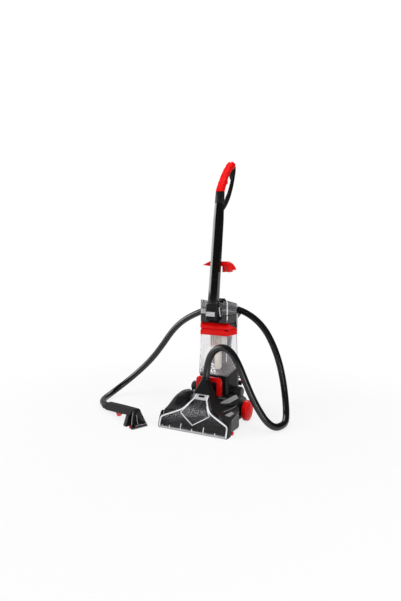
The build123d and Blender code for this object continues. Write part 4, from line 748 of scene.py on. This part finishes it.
shellLine = {"run": [(0.094, 0.088), (0.108, 0.112), (0.120, 0.134), (0.1225, 0.146)], "radius": 0.0011,
             "cuts": 5, "lift": 0.0004}
for label, turn in (("shellLineRight", 1), ("shellLineLeft", -1)):
    wire = drawWire(label, [[(turn * x, y, above) for x, y in shellLine["run"]]])
    divide(wire, shellLine["cuts"])
    dropOnto(wire, hoodShell, shellLine["lift"])
    settle(thicken(wire, shellLine["radius"]), "satinGrey", "head")

# air intake on the cover: oval mouth, raised rim and bars
intake = {"middle": (-0.099, 0.104), "long": 0.043, "short": 0.0165, "tilt": math.radians(11), "sides": 40,
          "rimRadius": 0.0013, "rimLift": 0.0004, "thick": 0.0009, "mouthLift": 0.0003, "mouthCuts": 3,
          "bars": 5,
          "barRadius": 0.0011, "barLift": 0.0013, "barSpread": 0.7, "barReach": 0.94, "barCuts": 6}


def ovalSpot(turn, share):
    along = intake["long"] * share * math.cos(turn)
    across = intake["short"] * share * math.sin(turn)
    tilt = intake["tilt"]
    return (intake["middle"][0] + across * math.cos(tilt) + along * math.sin(tilt),
            intake["middle"][1] - across * math.sin(tilt) + along * math.cos(tilt), above)


rimWire = drawWire("intakeRim", [[ovalSpot(turn, 1) for turn in circleTurns(intake["sides"])]])
dropOnto(rimWire, intakeHump, intake["rimLift"])
settle(thicken(rimWire, intake["rimRadius"]), "toolBlack", "head")
clearSelection()
bpy.ops.mesh.primitive_circle_add(vertices=intake["sides"], fill_type="TRIFAN")
mouth = bpy.context.object
mouth.name = "intakeMouth"
divide(mouth, intake["mouthCuts"])
for vertex in mouth.data.vertices:
    vertex.co = ovalSpot(math.atan2(vertex.co.y, vertex.co.x), math.hypot(vertex.co.x, vertex.co.y))
dropOnto(mouth, intakeHump, intake["mouthLift"])
faceOutwards()
giveWall(mouth, intake["thick"], mouth.data.polygons[0].normal.z > 0)
bpy.ops.object.shade_smooth_by_angle(angle=smoothAngle)
settle(mouth, "toolBlack", "head")
barRuns = []
for number in range(intake["bars"]):  # bars across the intake
    share = -intake["barSpread"] + 2 * intake["barSpread"] * number / (intake["bars"] - 1)
    reach = math.sqrt(1 - share ** 2) * intake["barReach"]
    turnOut = math.atan2(reach, share)
    barRuns.append([ovalSpot(turnOut, math.hypot(share, reach)),
                    ovalSpot(-turnOut, math.hypot(share, reach))])
barWire = drawWire("intakeBars", barRuns)
divide(barWire, intake["barCuts"])
dropOnto(barWire, intakeHump, intake["barLift"])
settle(thicken(barWire, intake["barRadius"]), "toolBlack", "head")

# end caps: light bead along the upper edge
capLine = {"run": [(0.036, 0.0535), (0.060, 0.0620), (0.094, 0.0645), (0.104, 0.0590)], "side": 0.1509,
           "radius": 0.0011, "cuts": 4}
for label, turn in (("capLineRight", 1), ("capLineLeft", -1)):
    wire = drawWire(label, [[(turn * capLine["side"], y, z) for y, z in capLine["run"]]])
    divide(wire, capLine["cuts"])
    settle(thicken(wire, capLine["radius"]), "satinGrey", "head")
print("head dressed")

# lid: black end trim with a slanted lower edge, made from the lid's own skin
lidTrim = {"through": (0, 0.190, 0.4045), "slope": (0, 0.411, 0.912), "inside": 0.060, "out": 0.0010,
           "wall": 0.0008, "sideways": 0.5, "digits": 5}
for label, turn in (("lidTrimRight", 1), ("lidTrimLeft", -1)):
    trim = bpy.data.objects.new(label, shown["tank_lid"].data.copy())
    bpy.context.scene.collection.objects.link(trim)
    pick(trim)
    bpy.ops.object.mode_set(mode="EDIT")
    bpy.ops.mesh.select_all(action="SELECT")
    bpy.ops.mesh.bisect(plane_co=lidTrim["through"], plane_no=lidTrim["slope"], clear_inner=True)
    bpy.ops.mesh.select_all(action="SELECT")
    bpy.ops.mesh.bisect(plane_co=(turn * lidTrim["inside"], 0, 0), plane_no=(turn, 0, 0), clear_inner=True)
    bpy.ops.object.mode_set(mode="OBJECT")
    digits = lidTrim["digits"]
    inward = [face for face in trim.data.polygons if face.normal.x * turn < lidTrim["sideways"]]
    unwanted = {face.center.to_tuple(digits) for face in inward}
    selectFaces(trim, lambda spot: spot.to_tuple(digits) in unwanted)
    bpy.ops.mesh.delete(type="FACE")
    bpy.ops.mesh.select_all(action="SELECT")
    bpy.ops.transform.shrink_fatten(value=lidTrim["out"])
    bpy.ops.object.mode_set(mode="OBJECT")
    giveWall(trim, lidTrim["wall"], False)
    bpy.ops.object.shade_smooth_by_angle(angle=smoothAngle)
    settle(trim, "black_gloss", "tank")

# upper tank and clear tank: near-white beads on the corners, painted highlights where the corners catch
# light
cornerGlints = {
    "waterEdgeGlint": {"runs": [[(0.0613, 0.1908, 0.4415), (0.0613, 0.1908, 0.4955)]], "radius": 0.0024,
                  "body": "water_tank"},
    "housingEdgeGlint": {"runs": [[(0.0613, 0.1908, 0.4185), (0.0613, 0.1908, 0.4370)],
                             [(0.0330, 0.1887, 0.4330), (0.0290, 0.1887, 0.4370)]],
                    "radius": 0.0022, "body": "upright"},
    "waterSlantGlint": {"runs": [[(0.0290, 0.1887, 0.4400), (0.0262, 0.1887, 0.4700)]], "radius": 0.0022,
                   "body": "water_tank"},
    "tankEdgeGlint": {"runs": [[(0.0598, 0.1880, 0.3500), (0.0602, 0.1874, 0.3000), (0.0610, 0.1852, 0.2500)]],
                 "radius": 0.0014, "body": "tank"},
}
# each run becomes a near-white bead painted as a corner highlight
for label, lineSet in cornerGlints.items():
    piece = thicken(drawWire(label, lineSet["runs"]), lineSet["radius"])
    settle(piece, "highlightWhite", lineSet["body"])

# upper tank: pale pane beside the pole, a painted reflection of light on the tank's left front
tankGlarePane = {"outline": [(-0.0560, 0.1889, 0.4410), (-0.0285, 0.1889, 0.4410), (-0.0285, 0.1889, 0.4580),
                           (-0.0500, 0.1889, 0.4610), (-0.0560, 0.1889, 0.4560)],
               "thick": 0.0012, "rim": 0.0005}
# pale grey plate that paints the reflection
glarePane = cutPlate("tankGlarePane", tankGlarePane["outline"], (0, -tankGlarePane["thick"], 0),
                      tankGlarePane["rim"])
settle(glarePane, "grey_light", "water_tank")

# pole: gloss tube with slanted front corners, and a dull sleeve under the grip
pole = {"lean": math.radians(7.85), "axis": (0.188, 0.499), "rim": 0.0016, "half": (0.02, 0.015),
        "tube": (0.416, 0.948, 0), "sleeve": (0.897, 0.9475, 0.0006),
        "outline": [(-0.35, -1), (0.35, -1), (1, -0.71), (1, 0.85), (0.90, 1), (-0.90, 1), (-1, 0.85),
                    (-1, -0.71)],
        "levels": [(0.416, 0.042, 0.032), (0.600, 0.0395, 0.031), (0.830, 0.0375, 0.030),
                   (0.897, 0.033, 0.0275), (0.948, 0.030, 0.026)]}


def poleSize(z):
    return [levelAt([(row[0], row[column]) for row in pole["levels"]], z) for column in (1, 2)]


def polePrism(label, low, high, grow):
    leanShare = math.cos(pole["lean"])
    halfWidth, halfDepth = pole["half"]
    outline = [(x * halfWidth, y * halfDepth, 0) for x, y in pole["outline"]]
    tube = cutPlate(label, outline, (0, 0, (high - low) / leanShare), pole["rim"])
    bpy.ops.object.mode_set(mode="EDIT")
    for row in pole["levels"]:
        bpy.ops.mesh.select_all(action="SELECT")
        if low < row[0] < high:
            bpy.ops.mesh.bisect(plane_co=(0, 0, (row[0] - low) / leanShare), plane_no=(0, 0, 1))
    bpy.ops.object.mode_set(mode="OBJECT")
    for vertex in tube.data.vertices:  # each height has its own width and depth
        width, depth = poleSize(low + vertex.co.z * leanShare)
        vertex.co.x *= (width / 2 + grow) / halfWidth
        vertex.co.y *= (depth / 2 + grow) / halfDepth
    base = (0, pole["axis"][0] + (low - pole["axis"][1]) * math.tan(pole["lean"]), low)
    tube.data.transform(Matrix.Translation(base) @ Matrix.Rotation(-pole["lean"], 4, "X"))
    return tube


poleTube = polePrism("poleTube", *pole["tube"])
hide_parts("handle_pole")
settle(poleTube, "black_gloss", "upright")
settle(polePrism("poleSleeve", *pole["sleeve"]), "black_satin", "upright")

# grip: black web closing the top of the loop
gripWeb = {"outline": [(0.365, 1.062), (0.335, 1.046), (0.316, 1.027), (0.330, 1.0215), (0.350, 1.0195),
                       (0.364, 1.002), (0.370, 1.012), (0.374, 1.025), (0.373, 1.045)],
           "half": 0.0058, "rim": 0.0018}
webOutline = [(-gripWeb["half"], y, z) for y, z in gripWeb["outline"]]
webPlate = cutPlate("gripWeb", webOutline, (2 * gripWeb["half"], 0, 0), gripWeb["rim"])
settle(webPlate, "black_satin", "upright")
print("upright dressed")

# wheels: stood out from the shell on a dull boss
wheelSet = {"out": 0.008, "middle": (0.228, 0.042), "radius": 0.030, "from": 0.116, "to": 0.138,
            "rim": 0.002, "sides": 32}


def wheelCircle(out, reach, sides):  # points once round a wheel's axle
    middleY, middleZ = wheelSet["middle"]
    return [(out, middleY + reach * math.cos(turn), middleZ + reach * math.sin(turn))
            for turn in circleTurns(sides)]


for label, turn, names in (("wheelBossRight", 1, ("wheel_right", "hub_cap_right")),
                           ("wheelBossLeft", -1, ("wheel_left", "hub_cap_left"))):
    for name in names:
        shown[name].data.transform(Matrix.Translation((turn * wheelSet["out"], 0, 0)))
    outline = wheelCircle(turn * wheelSet["from"], wheelSet["radius"], wheelSet["sides"])[:-1]
    boss = cutPlate(label, outline, (turn * (wheelSet["to"] - wheelSet["from"]), 0, 0), wheelSet["rim"])
    settle(boss, "black_satin", "head")

# wheel hubs: two raised rings on each dome
hubRings = {"rings": [(0.012, 0.1532), (0.024, 0.1507)], "bead": 0.0010, "sides": 36}
for label, turn, body in (("hubRingsRight", 1, "right_wheel"), ("hubRingsLeft", -1, "left_wheel")):
    runs = [wheelCircle(turn * out, reach, hubRings["sides"]) for reach, out in hubRings["rings"]]
    settle(thicken(drawWire(label, runs), hubRings["bead"]), "red", body)

# motor housing: louvres on the back
louvre = {"profile": [(0.3024, 0.1520), (0.3062, 0.1530), (0.3024, 0.1575)], "from": -0.012, "to": 0.082,
          "count": 6, "step": 0.0095, "rim": 0.0005}
louvres = cutPlate("louvres", [(louvre["from"], y, z) for y, z in louvre["profile"]],
                   (louvre["to"] - louvre["from"], 0, 0), louvre["rim"])
applyStep(louvres, "ARRAY", count=louvre["count"], use_relative_offset=False, use_constant_offset=True,
          constant_offset_displace=(0, 0, louvre["step"]))
settle(louvres, "black_satin", "upright")
print("wheels and back dressed")

# hand tool: ribs on the fan
fanRibs = {"runs": [[(-0.2413, -0.0488, 0.0575), (-0.2344, -0.0676, 0.0160)],
                    [(-0.2262, -0.0442, 0.0500), (-0.2162, -0.0508, 0.0154)],
                    [(-0.2202, -0.0619, 0.0117), (-0.1971, -0.0121, 0.0117)]], "radius": 0.0012}
settle(thicken(drawWire("fanRibs", fanRibs["runs"]), fanRibs["radius"]), "satinGrey", "head")
print("hand tool dressed")

# hose: one smooth curve through the route, made a tube
hose = {
    "diameter": 0.028, "length": 2.265, "sides": 20, "exit": (0, 0.119, 0.184), "ridge": 0.00018,
    "pitch": 0.007, "order": 3, "resolution": 40, "smooth": math.radians(50),
    "route": [
        (0, 0.119, 0.184), (0.001, 0.126, 0.226), (0.014, 0.122, 0.272), (0.042, 0.113, 0.309),
        (0.084, 0.106, 0.327), (0.124, 0.101, 0.309), (0.153, 0.101, 0.264), (0.177, 0.104, 0.207),
        (0.202, 0.11, 0.146), (0.23, 0.12, 0.088), (0.258, 0.132, 0.042), (0.284, 0.152, 0.017),
        (0.3, 0.188, 0.015), (0.303, 0.228, 0.018), (0.292, 0.268, 0.04), (0.278, 0.298, 0.088),
        (0.261, 0.316, 0.16), (0.24, 0.324, 0.236), (0.21, 0.328, 0.308), (0.171, 0.33, 0.372),
        (0.116, 0.331, 0.42), (0.048, 0.331, 0.449), (-0.022, 0.331, 0.456), (-0.096, 0.331, 0.442),
        (-0.168, 0.332, 0.413), (-0.234, 0.334, 0.377), (-0.292, 0.338, 0.325), (-0.346, 0.34, 0.254),
        (-0.402, 0.339, 0.186), (-0.464, 0.333, 0.126), (-0.518, 0.314, 0.076), (-0.555, 0.28, 0.04),
        (-0.568, 0.234, 0.02), (-0.562, 0.184, 0.015), (-0.543, 0.138, 0.015), (-0.511, 0.101, 0.015),
        (-0.462, 0.074, 0.018)],
}
line = bpy.data.curves.new("hoseLine", "CURVE")
line.dimensions = "3D"
spline = line.splines.new("NURBS")
spline.points.add(len(hose["route"]) - 1)
for point, spot in zip(spline.points, hose["route"]):
    point.co = (*spot, 1)
spline.order_u = hose["order"]
spline.use_endpoint_u = True
spline.resolution_u = hose["resolution"]
lineHolder = bpy.data.objects.new("hoseLine", line)
bpy.context.scene.collection.objects.link(lineHolder)
thread = bpy.data.meshes.new_from_object(lineHolder)
hosePath = [tuple(vertex.co) for vertex in thread.vertices]
line.bevel_depth = hose["diameter"] / 2
line.bevel_resolution = hose["sides"] // 4
line.use_fill_caps = True
bpy.context.view_layer.update()
tubeMesh = bpy.data.meshes.new_from_object(lineHolder)
bpy.data.objects.remove(lineHolder)
ring = len(tubeMesh.vertices) // len(hosePath)
run = 0.0
for number, spot in enumerate(hosePath):  # fine ridges round the tube
    run += (Vector(spot) - Vector(hosePath[max(number - 1, 0)])).length
    swell = 1 + hose["ridge"] / (hose["diameter"] / 2) * math.sin(2 * math.pi * run / hose["pitch"])
    for vertex in tubeMesh.vertices[number * ring:(number + 1) * ring]:
        vertex.co = Vector(spot) + (vertex.co - Vector(spot)) * swell
hoseTube = bpy.data.objects.new("hoseTube", tubeMesh)
bpy.context.scene.collection.objects.link(hoseTube)
pick(hoseTube)
bpy.ops.object.shade_smooth_by_angle(angle=hose["smooth"])
paint(hoseTube, "hose_black")
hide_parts("hose")
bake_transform(hoseTube)
print("hose laid:", len(hosePath), "points")
